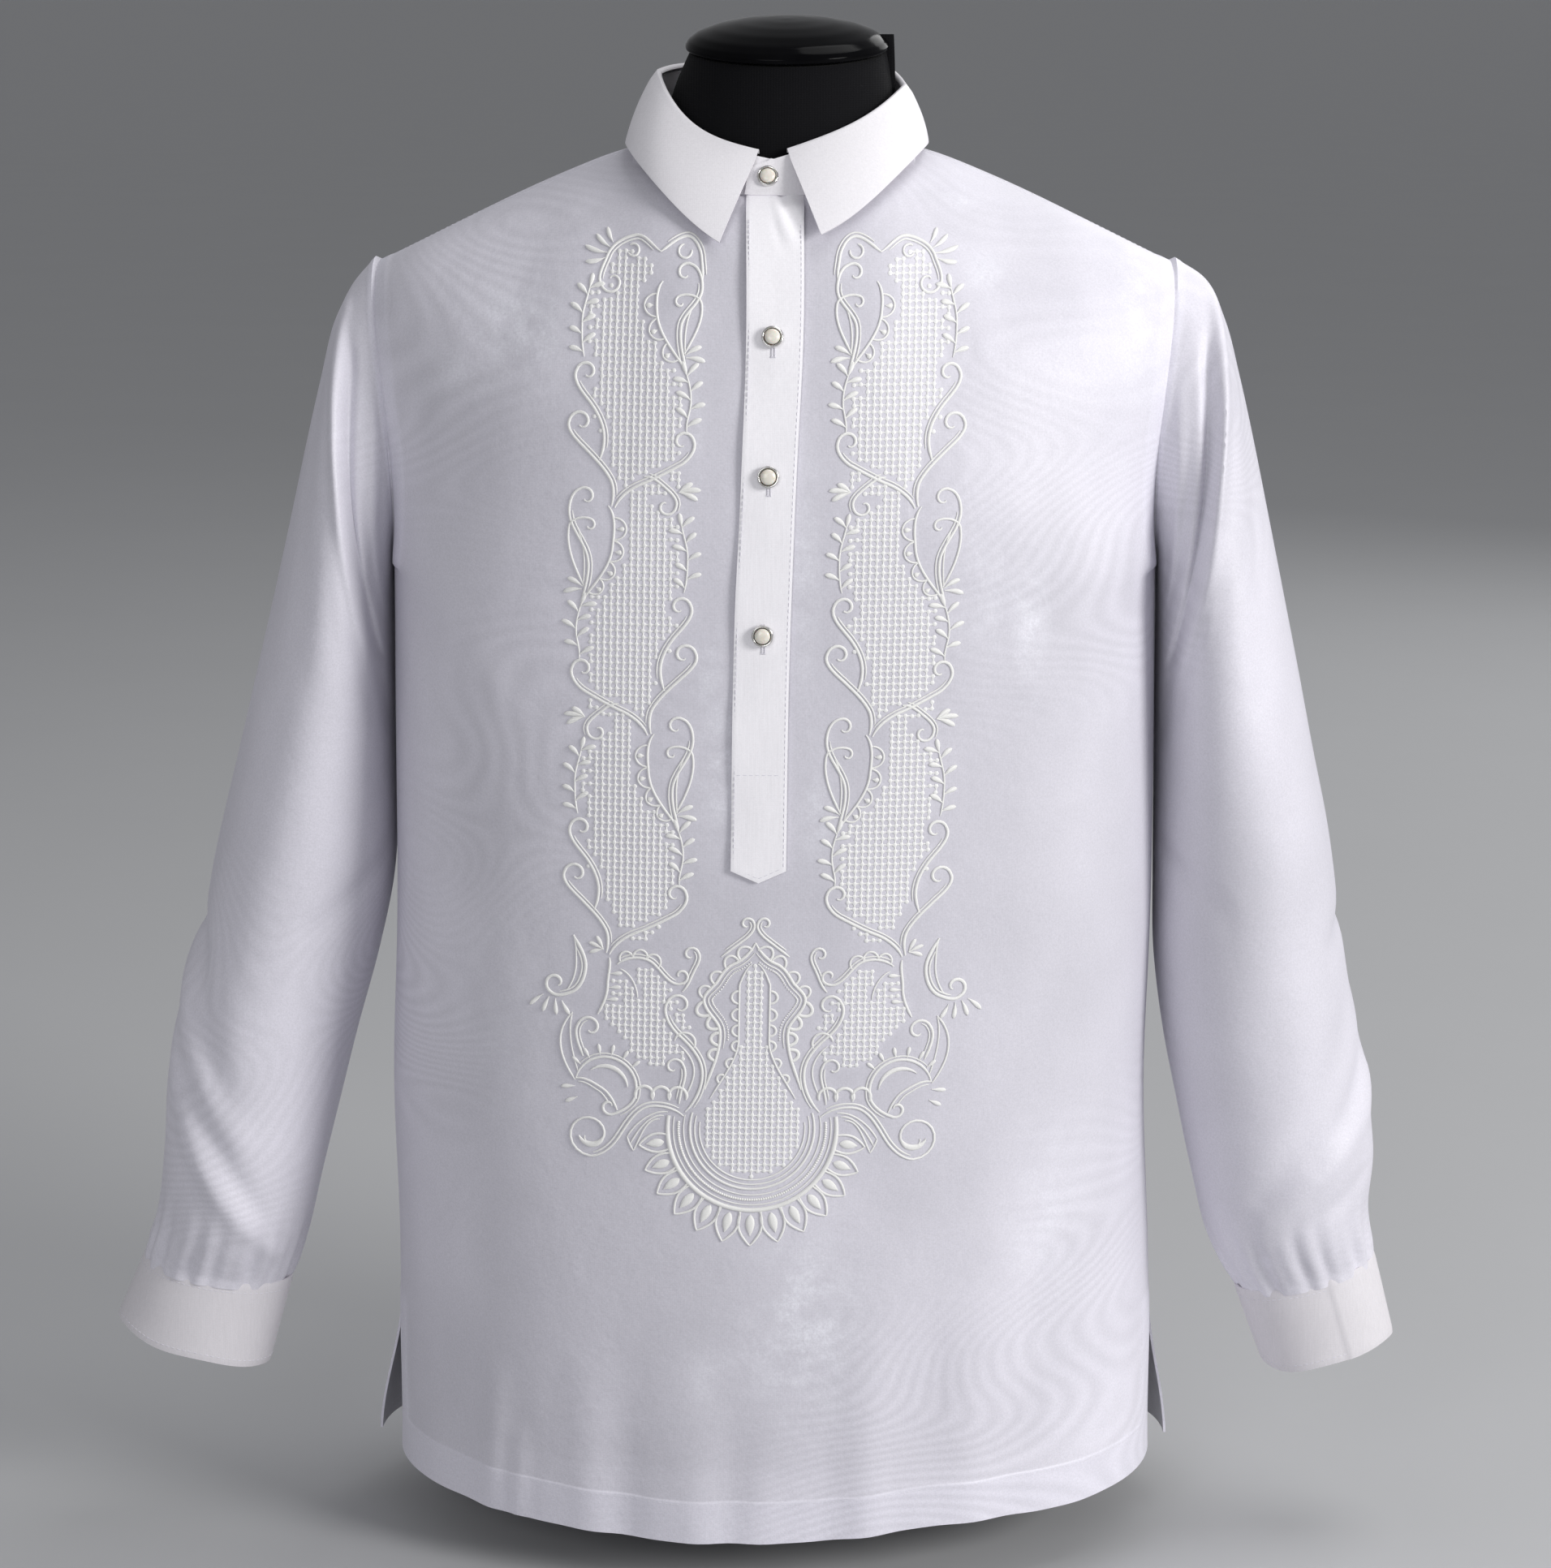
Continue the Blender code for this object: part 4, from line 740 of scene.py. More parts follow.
def metal(name):
    m = Nodes(name)
    at = m.place()
    fine = m.noise(at, 900.0, 3.0, 0.6)
    scratch = m.noise(m.stretched(at, (300.0, 300.0, 2600.0)), 1.0, 2.0, 0.6)
    return m.set(Base_Color=m.tint((0.80, 0.79, 0.77), m.remap(fine, 0.2, 0.8, 0.86, 1.02)), Metallic=1.0,
                 Roughness=m.remap(scratch, 0.2, 0.8, 0.14, 0.26), Normal=m.bump(fine, 0.08, 0.0002))


def pearl(name):
    m = Nodes(name)
    at = m.place()
    swirl = m.noise(at, 260.0, 3.0, 0.55, 1.2)
    colour = m.blend(m.remap(swirl, 0.3, 0.7, 0.0, 1.0), (0.78, 0.73, 0.62), (0.86, 0.83, 0.76))
    return m.set(Base_Color=colour, Roughness=m.remap(swirl, 0.2, 0.8, 0.24, 0.34), Coat_Weight=0.6, Coat_Roughness=0.08,
                 Subsurface_Weight=0.15, Subsurface_Scale=0.001, Specular_IOR_Level=0.5)


def knit_black(name):
    m = Nodes(name)
    at = m.place()
    lint = m.noise(at, 420.0, 3.0, 0.7)
    soft = m.noise(at, 18.0, 3.0, 0.6)
    ribs = m.math("ADD", m.wave(at, 210.0, "X", 0.8, 1.0, 20.0), m.wave(at, 260.0, "Z", 0.8, 1.0, 20.0))
    colour = m.blend(m.remap(lint, 0.66, 0.80, 0.0, 1.0), (0.0045, 0.0045, 0.0055), (0.014, 0.014, 0.0155))
    n = m.bump(ribs, 0.35, 0.0003)
    n = m.bump(lint, 0.15, 0.0003, n)
    return m.set(Base_Color=colour, Roughness=m.remap(soft, 0.2, 0.8, 0.85, 0.95), Normal=n,
                 Sheen_Weight=0.02, Sheen_Roughness=0.5, Specular_IOR_Level=0.12)


def gloss_black(name):
    m = Nodes(name)
    at = m.place()
    haze = m.noise(at, 40.0, 4.0, 0.6)
    marks = m.noise(m.stretched(at, (60.0, 500.0, 500.0)), 1.0, 3.0, 0.7)
    return m.set(Base_Color=m.blend(m.remap(haze, 0.3, 0.7, 0.0, 1.0), (0.0018, 0.0018, 0.0022), (0.0032, 0.0032, 0.0038)),
                 Roughness=m.remap(marks, 0.35, 0.75, 0.10, 0.20), Normal=m.bump(haze, 0.04, 0.0006),
                 Specular_IOR_Level=0.035)


def floor_paint(name):
    m = Nodes(name)
    at = m.place()
    k = m.remap(m.noise(at, 3.0, 4.0, 0.6), 0.2, 0.8, 0.985, 1.01)
    return m.set(Base_Color=m.tint((0.50, 0.505, 0.515), k), Roughness=m.remap(m.noise(at, 60.0, 3.0, 0.6), 0.2, 0.8, 0.75, 0.85),
                 Specular_IOR_Level=0.2)


# ---------------------------------------------------------------- strokes laid on the cloth
class Strokes:
    """Collects half-round stitched strokes and low knots in chart places (x, z), laid on the front in one go."""
    SIDES = 6

    def __init__(self):
        self.x, self.z, self.lift, self.along = [], [], [], []
        self.quads, self.caps, self.tris = [], [], []
        self.count = 0

    def stroke(self, p, width, height, base=0.0002):
        p = np.asarray(p, float)
        keep = np.concatenate([[True], np.linalg.norm(np.diff(p, axis=0), axis=1) > 1e-6])
        p = p[keep]
        if len(p) < 2:
            return
        t = np.gradient(p, axis=0)
        t /= np.maximum(np.linalg.norm(t, axis=1, keepdims=True), 1e-12)
        m = np.stack([-t[:, 1], t[:, 0]], -1)
        w = np.broadcast_to(np.asarray(width, float), len(p))
        h = np.broadcast_to(np.asarray(height, float), len(p))
        k = self.SIDES
        th = np.linspace(0, math.pi, k)
        q = p[:, None] + m[:, None] * (-np.cos(th) * 0.5)[None, :, None] * w[:, None, None]
        lift = base + np.sin(th)[None] * h[:, None]
        run = np.concatenate([[0], np.cumsum(np.linalg.norm(np.diff(p, axis=0), axis=1))])
        self.x.append(q[..., 0].ravel())
        self.z.append(q[..., 1].ravel())
        self.lift.append(lift.ravel())
        self.along.append(np.repeat(run, k))
        i = self.count + np.arange(len(p) * k).reshape(len(p), k)
        self.quads.append(np.stack([i[:-1, :-1], i[:-1, 1:], i[1:, 1:], i[1:, :-1]], -1).reshape(-1, 4))
        self.quads.append(np.stack([i[:-1, -1], i[:-1, 0], i[1:, 0], i[1:, -1]], -1))
        self.caps.append(np.stack([i[0][::-1], i[-1]]))
        self.count += len(p) * k

    def knots(self, xz, size, height, base=0.0001, stretch=1.0, spin=0.0):
        """Low domes, one at each place."""
        xz = np.asarray(xz, float)
        n, s = len(xz), 6
        a = np.linspace(0, 2 * math.pi, s + 1)[:-1] + spin
        unit = np.stack([np.cos(a) * stretch, np.sin(a)], -1)
        low, mid = xz[:, None] + unit * size / 2, xz[:, None] + unit * size * 0.36
        q = np.concatenate([low, mid, xz[:, None]], axis=1)
        lift = np.concatenate([np.full(s, base), np.full(s, base + height * 0.72), [base + height]])
        i = self.count + np.arange(n * (2 * s + 1)).reshape(n, -1)
        self.x.append(q[..., 0].ravel())
        self.z.append(q[..., 1].ravel())
        self.lift.append(np.tile(lift, n))
        self.along.append(np.tile(np.concatenate([np.zeros(s), np.full(s, 0.00023), [0.0004]]), n))
        for c in range(s):
            d = (c + 1) % s
            self.quads.append(np.stack([i[:, c], i[:, d], i[:, s + d], i[:, s + c]], -1))
            self.tris.append(np.stack([i[:, s + c], i[:, s + d], i[:, 2 * s]], -1))
        self.caps.append(i[:, :s][:, ::-1])
        self.count += n * (2 * s + 1)

    def build(self, name, mat, lay):
        x, z = np.concatenate(self.x), np.concatenate(self.z)
        verts = lay(x, z, np.concatenate(self.lift))
        sets = {}
        for f in self.quads + self.tris + self.caps:
            sets.setdefault(f.shape[1], []).append(f)
        ob = closed_object(name, verts, [np.concatenate(f) for f in sets.values()], mat, 60.0)
        attr = ob.data.attributes.new("along", "FLOAT", "POINT")
        attr.data.foreach_set("value", np.concatenate(self.along).astype(np.float32))
        return ob


def beside(p, distance):
    t = np.gradient(p, axis=0)
    t /= np.maximum(np.linalg.norm(t, axis=1, keepdims=True), 1e-12)
    return p + np.stack([-t[:, 1], t[:, 0]], -1) * distance


def tapered(n, width, start=0.35, end=0.35, at=0.18):
    t = np.linspace(0, 1, n)
    return width * (start + (1 - start) * ease(t / at)) * (end + (1 - end) * ease((1 - t) / at))


# ---------------------------------------------------------------- the embroidery
FACE = 0.00045           # half the wall of the finished cloth
PITCH = 0.00355          # knots of the openwork lattice


class Sheet:
    """The finished grid of a body panel: what lies on it is placed between its own points."""

    def __init__(self, xf, row, points, normals):
        self.xf, self.row, self.p, self.n = xf, row, points, normals

    def at(self, xf, row):
        i = np.interp(xf, self.xf, np.arange(len(self.xf)))
        j = np.interp(row, self.row, np.arange(len(self.row)))
        i0, j0 = np.minimum(i.astype(int), len(self.xf) - 2), np.minimum(j.astype(int), len(self.row) - 2)
        fi, fj = (i - i0)[..., None], (j - j0)[..., None]
        out = []
        for g in (self.p, self.n):
            out.append((g[j0, i0] * (1 - fi) + g[j0, i0 + 1] * fi) * (1 - fj) + (g[j0 + 1, i0] * (1 - fi) + g[j0 + 1, i0 + 1] * fi) * fj)
        return out[0], out[1] / np.maximum(np.linalg.norm(out[1], axis=-1, keepdims=True), 1e-12)

    def lay(self, x, z, lift):
        x, z, lift = np.broadcast_arrays(np.asarray(x, float), np.asarray(z, float), np.asarray(lift, float))
        xf = x / 0.218
        row = np.clip(front_row_at(z), 0.0, 1.985)
        for _ in range(9):
            p, _n = self.at(xf, row)
            up, _n = self.at(xf, np.minimum(row + 0.01, 1.9975))
            slope = (up[..., 2] - p[..., 2]) / 0.01
            row = np.clip(row + np.clip(0.9 * (z - p[..., 2]) / np.maximum(slope, 0.03), -0.15, 0.15), 0.0, 1.9875)
            xf = np.clip(xf + (x - p[..., 0]) / 0.22, -0.999, 0.999)
        p, n = self.at(xf, row)
        return p + n * lift[..., None]


# The pattern is laid out on a chart: X steps outward from the centre line, Y steps down from its top, both of about
# 0.44 mm. The chart is mirrored about the centre line, which leans a little to the wearer's right going down.
# Every line is worked out: spirals, arcs, and bows that leave one place at a heading and reach another at a heading.
STEP, TOP_Z = 0.00044, 0.7680
MID = 160.0              # middle line of each band on the chart
PERIOD = 280.0           # the band repeats after this many steps, turned over each time
BAND_TOP = 10.0


def chart(p):
    p = np.asarray(p, float)
    return np.stack([p[..., 0] * STEP, TOP_Z - p[..., 1] * STEP], -1)


def lean(z):
    return -0.0205 * (TOP_Z - z)


def toward(heading):
    a = math.radians(heading)
    return np.array([math.cos(a), math.sin(a)])


def eye(x, y, r, end, turn, inner=0.30):
    """A curl about (x, y), from its inner end out to radius r at angle end (0 outward, 90 down)."""
    t = np.linspace(0, 1, max(int(abs(turn) / 18), 6))
    a = np.radians(end - turn * (1 - t))
    radius = r * (inner + (1 - inner) * t ** 0.75)
    return np.stack([x + radius * np.cos(a), y + radius * np.sin(a)], -1)


def bow(p, leave, q, reach, pull=1.0, step=2.4):
    """The line from p to q that leaves at one heading and reaches q at another."""
    p, q = np.asarray(p, float), np.asarray(q, float)
    d = max(np.linalg.norm(q - p), 1e-6)
    t = np.linspace(0, 1, max(int(d / step), 6))[:, None]
    return (p * (2 * t ** 3 - 3 * t ** 2 + 1) + toward(leave) * d * pull * (t ** 3 - 2 * t ** 2 + t)
            + q * (3 * t ** 2 - 2 * t ** 3) + toward(reach) * d * pull * (t ** 3 - t ** 2))


def chain(*nodes):
    """Bows through nodes of (x, y, heading)."""
    parts = [bow(a[:2], a[2], b[:2], b[2]) for a, b in zip(nodes[:-1], nodes[1:])]
    return np.concatenate([parts[0]] + [p[1:] for p in parts[1:]])


def scroll(curl, *nodes):
    """A curl, then its stem through nodes of (x, y, heading)."""
    e = eye(*curl)
    d = e[-1] - e[-2]
    return np.concatenate([e, chain((e[-1, 0], e[-1, 1], math.degrees(math.atan2(d[1], d[0]))), *nodes)[1:]])


def round_part(x, y, r, start, turn, squash=1.0):
    a = np.radians(np.linspace(start, start + turn, max(int(abs(turn) / 9), 8)))
    return np.stack([x + r * np.cos(a), y + r * squash * np.sin(a)], -1)


def near_edge(b, n):
    """The lattice's side beside the leaf, in steps from the middle line."""
    out = 56.0 - 50.0 * (1 - ease((b - 95.0) / 70.0))
    return out + (20.0 * (1 - ease((b - 34.0) / 26.0)) if n == 0 else 0.0)


def far_edge(b, n):
    """Its other side, which stays clear of the curls and follows their stems."""
    out = -58.0 + 15.0 * np.exp(-((b - 160.0) / 16.0) ** 2) + 32.0 * ease((b - 180.0) / 100.0)
    return out + (36.0 * (1 - ease((b - 30.0) / 30.0)) if n else 0.0)


def key_half(y):
    """Half the width of the middle field at height y: a column that opens into a disc."""
    t = (y - 896.0) / 216.0
    column = 19.0 * np.sqrt(np.clip(t / 0.13, 0, 1)) + 45.0 * ease((t - 0.46) / 0.52)
    return np.where(y > 1112.0, np.sqrt(np.clip(64.0 ** 2 - (y - 1112.0) ** 2, 0, None)), column)


def openwork_fields():
    half = []
    for n in range(3):
        side, y0 = (-1, 1, -1)[n], BAND_TOP + n * PERIOD
        b = np.linspace(14.0 if n == 0 else -2.0, 304.0 if n == 2 else PERIOD + 22.0, 60)
        near, far = near_edge(b, n), far_edge(b, n)
        middle = (near + far) / 2
        close = np.ones_like(b)
        if n == 0:
            close = np.sqrt(np.clip((b - 14.0) / 34.0, 0, 1))
        if n == 2:
            close = np.sqrt(np.clip((304.0 - b) / 60.0, 0, 1))
        near, far = middle + (near - middle) * close, middle + (far - middle) * close
        half.append(np.concatenate([np.stack([MID + side * near, y0 + b], -1), np.stack([MID + side * far, y0 + b], -1)[::-1]]))
    a = np.radians(np.linspace(0, 360, 61)[:-1])
    r = 57.0 + 10.0 * np.cos(2 * (a - math.radians(122.0))) + 4.0 * np.cos(3 * a)
    half.append(np.stack([133.0 + r * np.cos(a), 968.0 + r * np.sin(a)], -1))
    out = []
    for ring in half:
        p = chart(ring)
        out += [p, p * [-1, 1]]
    y = np.linspace(896.0, 1176.0, 70)
    key = chart(np.stack([key_half(y), y], -1))
    return out + [np.concatenate([key, (key * [-1, 1])[::-1]])]


def inside(poly, pts):
    poly = np.asarray(poly, float)
    a, b = poly, np.roll(poly, -1, axis=0)
    x, y = pts[:, 0][:, None], pts[:, 1][:, None]
    cross = (a[:, 1] > y) != (b[:, 1] > y)
    with np.errstate(divide="ignore", invalid="ignore"):
        at = (b[:, 0] - a[:, 0]) * (y - a[:, 1]) / np.where(b[:, 1] == a[:, 1], 1e-12, b[:, 1] - a[:, 1]) + a[:, 0]
    return (np.where(cross & (x < at), 1, 0).sum(axis=1) % 2) == 1


def build_embroidery(sheet, mat_scroll, mat_knot):
    s = Strokes()
    drawn = []

    def put(p, w, h, both=True, base=0.0002):
        p = chart(p)
        for q in (p, p * [-1, 1]) if both else (p,):
            s.stroke(q, w, h, base)
            drawn.append(q)

    def line(p, w=0.00125, h=0.0006, both=True, ends=0.55):
        p = np.asarray(p, float)
        put(p, tapered(len(p), w, ends, ends, 0.10), tapered(len(p), h, 0.6, 0.6, 0.10), both)
        return p

    def doubled(p, gap=4.3, w=0.00150, trim=(0.10, 0.10), second=0.00085):
        """A bold line with a finer one that keeps beside it."""
        p = line(p, w)
        line(beside(p, gap)[int(len(p) * trim[0]):max(int(len(p) * (1 - trim[1])), 4)], second, 0.00042)
        return p

    def drop(x, y, angle, length, thick=0.0026, bend=0.0):
        """A satin leaf from its stem end; angle 0 points outward, 90 down."""
        t = np.linspace(0, 1, 12)
        a = np.radians(angle + bend * (t - 0.35))
        d = np.stack([np.cos(a), np.sin(a)], -1) * length / 11
        p = np.concatenate([[[x, y]], [x, y] + np.cumsum(d, axis=0)[:-1]])
        w = thick * (0.22 + 0.78 * ease(t / 0.62)) * np.sqrt(np.clip(1 - (np.clip(t - 0.70, 0, 1) / 0.305) ** 2, 0.04, 1))
        put(p, w, 0.00032 + w * 0.17)

    def on(p, t):
        """Place and heading at the share t of a line."""
        i = min(max(int(t * (len(p) - 1)), 1), len(p) - 2)
        d = p[i + 1] - p[i - 1]
        return p[i], math.degrees(math.atan2(d[1], d[0]))

    def scallops(p, shares, r, hand, bud=0.0, w=0.0011, squash=0.9):
        """Half rounds that stand on a line, each with a bud in it where asked for."""
        for k, t in enumerate(shares):
            c, g = on(p, t)
            size = r * (1 - 0.06 * k)
            ex, ey = toward(g), toward(g + 90 * hand)
            a = np.radians(np.linspace(-6, 186, 18))
            line(c + np.cos(a)[:, None] * ex * size * squash + np.sin(a)[:, None] * ey * size, w, 0.0005)
            if bud:
                q = c + ey * 4.0
                drop(q[0], q[1], g + 90 * hand, size * bud, 0.0027)

    def sprig(stem, count, length, spread, w=0.0010):
        """A stem with satin leaves at even distances, to its right and left in turn, which point back along it."""
        line(stem, w, 0.0005)
        for k in range(count):
            c, g = on(stem, (k + 0.15) / (count - 0.4))
            hand = 1 if k % 2 else -1
            drop(c[0], c[1], g + 180 + hand * spread, length * (1.0 - 0.05 * (k % 3)), 0.0028, 30 * hand)
        c, g = on(stem, 0.0)
        drop(c[0], c[1], g + 180, length * 0.9, 0.0026)

    for n in range(3):
        side, y0 = (-1, 1, -1)[n], BAND_TOP + n * PERIOD

        def at(p):
            p = np.asarray(p, float)
            return np.stack([MID + side * p[..., 0], y0 + p[..., 1]], -1)

        # the leaf: inner side with scallops, doubled spine that begins in a curl, lobe and vein
        head = 44.0 if n == 0 else 30.0
        inner = at(chain((30, head + 8, 130), (24, 88, 85), (62, 156, 55)))
        line(inner, 0.0014)
        spine = scroll((58, head - 2, 12, -50, 250), (78, head + 18, 95), (54, 104, 98), (62, 156, 75))
        doubled(at(spine), 4.3 * side, 0.0015, (0.34, 0.06))
        line(at(scroll((53, head + 32, 8, -90, 240), (78, head + 34, 80), (59, 136, 118))), 0.0013)
        line(at(bow((68, head + 36), 118, (60, 138), 84)), 0.0009, 0.0004)
        scallops(inner, (0.22, 0.42, 0.62, 0.81) if n else (0.26, 0.50, 0.76), 15.0, side, 0.58)
        for angle, length in ((-30, 21), (8, 24)):
            x, y = at((61, 140 + angle * 0.1))
            drop(x, y, angle if side > 0 else 180 - angle, length, 0.0028, 30 * side)
        # a sprig on either side
        sprig(at(chain((62, 160, 70), (68, 196, 95), (64, 228, 80))), 7, 21, 58)
        sprig(at(chain((-60, 60, 100), (-68, 100, 90), (-64, 142, 75))), 8, 20, 58)
        # the C that hangs inside the far side
        if n:
            doubled(at(scroll((-41, 37, 12, 180, 265), (-36, 12, -40), (-14, 2, 10))), -4.0 * side, 0.0015, (0.36, 0.05))
            for angle, length in ((188, 27), (160, 25), (216, 20)):
                x, y = at((-56, 20))
                drop(x, y, angle if side > 0 else 180 - angle, length, 0.0029, -28 * side)
        # two scrolls on the far side, one over the other, and the one that crosses over as the next leaf's side
        doubled(at(scroll((-60, 160, 13, 190, -275), (-56, 194, 50), (-37, 232, 82), (-42, 264, 112))), -4.3 * side, 0.0017, (0.36, 0.10))
        doubled(at(scroll((-66, 219, 14, 190, -280), (-58, 252, 44), (-28, 286, 60), (-26, 318, 104))), -4.3 * side, 0.0017, (0.34, 0.08))
        doubled(at(scroll((60, 240, 13, -5, 275), (56, 268, 152), (12, 290, 158), (-22, 320, 112))), 4.2 * side, 0.0017, (0.32, 0.06))

    # the tops of the bands: two arches that meet, with a small curl under each, and a fan of leaves
    doubled(scroll((193, 64, 14, 20, -285), (200, 34, -110), (166, 10, 190), (134, 28, 150)), -4.2, 0.0015, (0.30, 0.05))
    line(round_part(168, 27, 7, 30, 280), 0.0012)
    doubled(chain((134, 28, 214), (104, 10, 190), (84, 34, 96), (82, 60, 84)), 4.2, 0.0015, (0.16, 0.05))
    line(round_part(104, 27, 8, -80, 270), 0.0012)
    for k, (angle, length) in enumerate(((-62, 19), (-36, 24), (-12, 30), (14, 25))):
        drop(194 + 3 * k, 19 + 6 * k, angle, length, 0.0025, -26)

    # ---- the lower part
    foot = chain((182, 894, 100), (184, 930, 90), (196, 968, 62))
    line(foot, 0.0015)
    for t in (0.30, 0.52, 0.74):
        c, g = on(foot, t)
        drop(c[0] - 2, c[1], 184, 15, 0.0023)
    for angle, length in ((14, 18), (-26, 20), (-64, 19)):
        drop(190, 884, angle, length, 0.0023, 18)
    # outer scroll with a leaf body and a fan under its curl
    outer = doubled(scroll((250, 932, 14, 70, 290), (230, 942, 205), (212, 908, 268), (228, 868, 300)), 4.6, 0.0019, (0.34, 0.10), 0.0010)
    line(chain((228, 868, 112), (224, 900, 92), (236, 940, 52)), 0.0010, 0.0004)
    for k in range(4):
        drop(266 - 8 * k, 948 + 2 * k, 40 + 26 * k, 23 - k, 0.0025, 16)
    # the stem's own curl, and a long leaf outside it
    doubled(scroll((206, 986, 15, -15, 280), (214, 1024, 112)), 4.4, 0.0016, (0.38, 0.08))
    line(bow((228, 968), 48, (224, 1056), 126, 1.25), 0.0012)
    line(bow((228, 968), 74, (220, 1046), 108, 1.0), 0.0009, 0.0004)
    # crescent with rays: two rounds about places a little apart, ending in a curl
    cx, cy, cr = 185.0, 1062.0, 39.0
    over = round_part(cx, cy, cr, 172, 176)
    crescent = doubled(np.concatenate([scroll((180, 1088, 11, 128, 285), (over[0, 0], over[0, 1], 268)), over[1:]]), -4.6, 0.0016, (0.34, 0.05))
    tip = over[-1]
    line(chain((tip[0], tip[1], 196), (190, 1064, 150), (170, 1092, 112)), 0.0013)
    line(chain((tip[0] - 3, tip[1] + 4, 190), (194, 1068, 152), (180, 1084, 128)), 0.0009, 0.0004)
    fill = round_part(cx + 1, cy + 2, cr - 10, 186, 124)
    put(fill, 0.0004 + 0.0022 * np.sin(math.pi * np.linspace(0, 1, len(fill))) ** 0.8, 0.0006)
    for k in range(6):
        g = -40 - 20 * k
        c = np.array([cx, cy]) + toward(g) * (cr + 3)
        drop(c[0], c[1], g, 14, 0.0021)
    drop(224, 1064, 6, 18, 0.0024)
    drop(221, 1078, 26, 17, 0.0024)
    # the S that leaves the medallion and winds up at the side, with a full crescent in its curl
    winding = eye(204, 1126, 29, 90, 430, 0.26)[::-1]
    doubled(np.concatenate([chain((86, 1096, -44), (126, 1084, 6), (168, 1128, 58), (204, 1155, 4)), winding[1:]]), -4.8, 0.0014, (0.05, 0.30), 0.0011)
    p = round_part(203, 1123, 16.5, 20, 150)
    put(p, 0.0004 + 0.0030 * np.sin(math.pi * np.linspace(0, 1, len(p))) ** 0.8, 0.0007)
    for k in range(3):
        line(bow((106 + 5 * k, 1091 + 5 * k), -6, (157 - 4 * k, 1126 + 9 * k), 62), 0.0010, 0.0004)
    line(bow((157, 1126), 100, (149, 1144), 120), 0.0010, 0.0004)
    for k in range(3):
        line(round_part(136 - 21 * k, 1070, 11.5, 158, 232), 0.0018, 0.0007)
    # two scrolls that rise from the disc
    doubled(scroll((94, 952, 15, -15, 280), (94, 990, 138), (64, 1034, 98), (84, 1090, 46)), 4.4, 0.0016, (0.28, 0.05), 0.0010)
    doubled(scroll((99, 1032, 12, 190, -280), (88, 1058, 74), (92, 1080, 86)), -4.0, 0.0014, (0.48, 0.06))
    line(chain((92, 1004, 140), (74, 1034, 96), (82, 1066, 66)), 0.0010, 0.0004)
    # frame round the column: an ogee, a lobe, a waist, with a fine line and beads inside it and scallops outside
    frame = chain((0, 870, 66), (26, 897, 22), (46, 919, 62), (63, 945, 96), (46, 974, 122), (44, 1008, 80), (60, 1060, 74))
    line(frame, 0.0017)
    line(beside(frame, 5.5)[4:-22], 0.0008, 0.0004)
    bead = beside(frame, 10.0)[8:-26]
    s.knots(np.concatenate([chart(bead), chart(bead) * [-1, 1]]), 0.0011, 0.0005)
    y = np.linspace(897.0, 1072.0, 70)
    column = np.stack([key_half(y), y], -1)
    line(column, 0.0011)
    scallops(frame, (0.09, 0.19, 0.29, 0.39), 12.5, -1, 0.0, 0.0014, 0.78)
    scallops(frame, (0.49, 0.59, 0.69, 0.79), 13.0, -1, 0.0, 0.0019, 0.72)
    scallops(column, (0.26, 0.38, 0.50, 0.62, 0.74, 0.86), 9.5, -1, 0.0, 0.0014, 0.86)
    doubled(scroll((80, 886, 10, 190, -280), (76, 908, 66), (90, 934, 44)), -4.0, 0.0014, (0.36, 0.06))
    line(round_part(86, 1000, 13, 150, 200), 0.0014)
    doubled(scroll((11, 846, 8.5, 190, -275), (14, 866, 38), (42, 888, 40)), -4.0, 0.0014, (0.34, 0.06))
    # the side field's upper edge, its curl and scallops
    brow = scroll((92, 914, 10, 90, -285), (128, 898, -38), (172, 902, 46))
    doubled(brow, -4.2, 0.0015, (0.36, 0.04))
    scallops(brow, (0.66, 0.78, 0.90), 11.0, -1, 0.0, 0.0012, 0.9)
    line(bow((168, 908), 160, (146, 944), 92), 0.0009, 0.0004)
    # medallion: bold ring, beads, fine rings and thirteen petals
    cy = 1112.0
    for r, start, turn, w, h in ((106, -9, 198, 0.0026, 0.0009), (99, -9, 198, 0.0008, 0.0004), (86, -12, 204, 0.0008, 0.0004),
                                 (78, -16, 212, 0.0014, 0.0006), (72, -14, 208, 0.0009, 0.0004), (66, -8, 196, 0.0009, 0.0004)):
        a = np.radians(np.linspace(start, start + turn, 110))
        line(np.stack([r * np.cos(a), cy + r * np.sin(a)], -1), w, h, both=False, ends=0.8)
    a = np.radians(np.linspace(-5, 185, 104))
    beads = np.stack([92.5 * np.cos(a), cy + 92.5 * np.sin(a)], -1)
    s.knots(chart(beads), 0.0017, 0.0007)
    drawn.append(chart(beads))
    for k in range(13):
        e, f = toward(90 + 13.4 * (k - 6)), toward(180 + 13.4 * (k - 6))
        big = 1.0 - 0.20 * abs(k - 6) / 6
        t = np.linspace(0, 1, 20)
        half = 13.4 * big * (1 - t ** 3.0) ** 0.85 * (0.90 + 0.30 * np.sin(math.pi * t))
        for sign in (-1, 1):
            p = np.array([0, cy]) + e * (107 + 46 * big * t)[:, None] + f * (half * sign)[:, None]
            put(p, tapered(len(p), 0.0014, 0.7, 0.7), 0.0006, both=False)
        t = np.linspace(0, 1, 13)
        q = np.array([0, cy]) + e * (112 + 28 * big * t)[:, None]
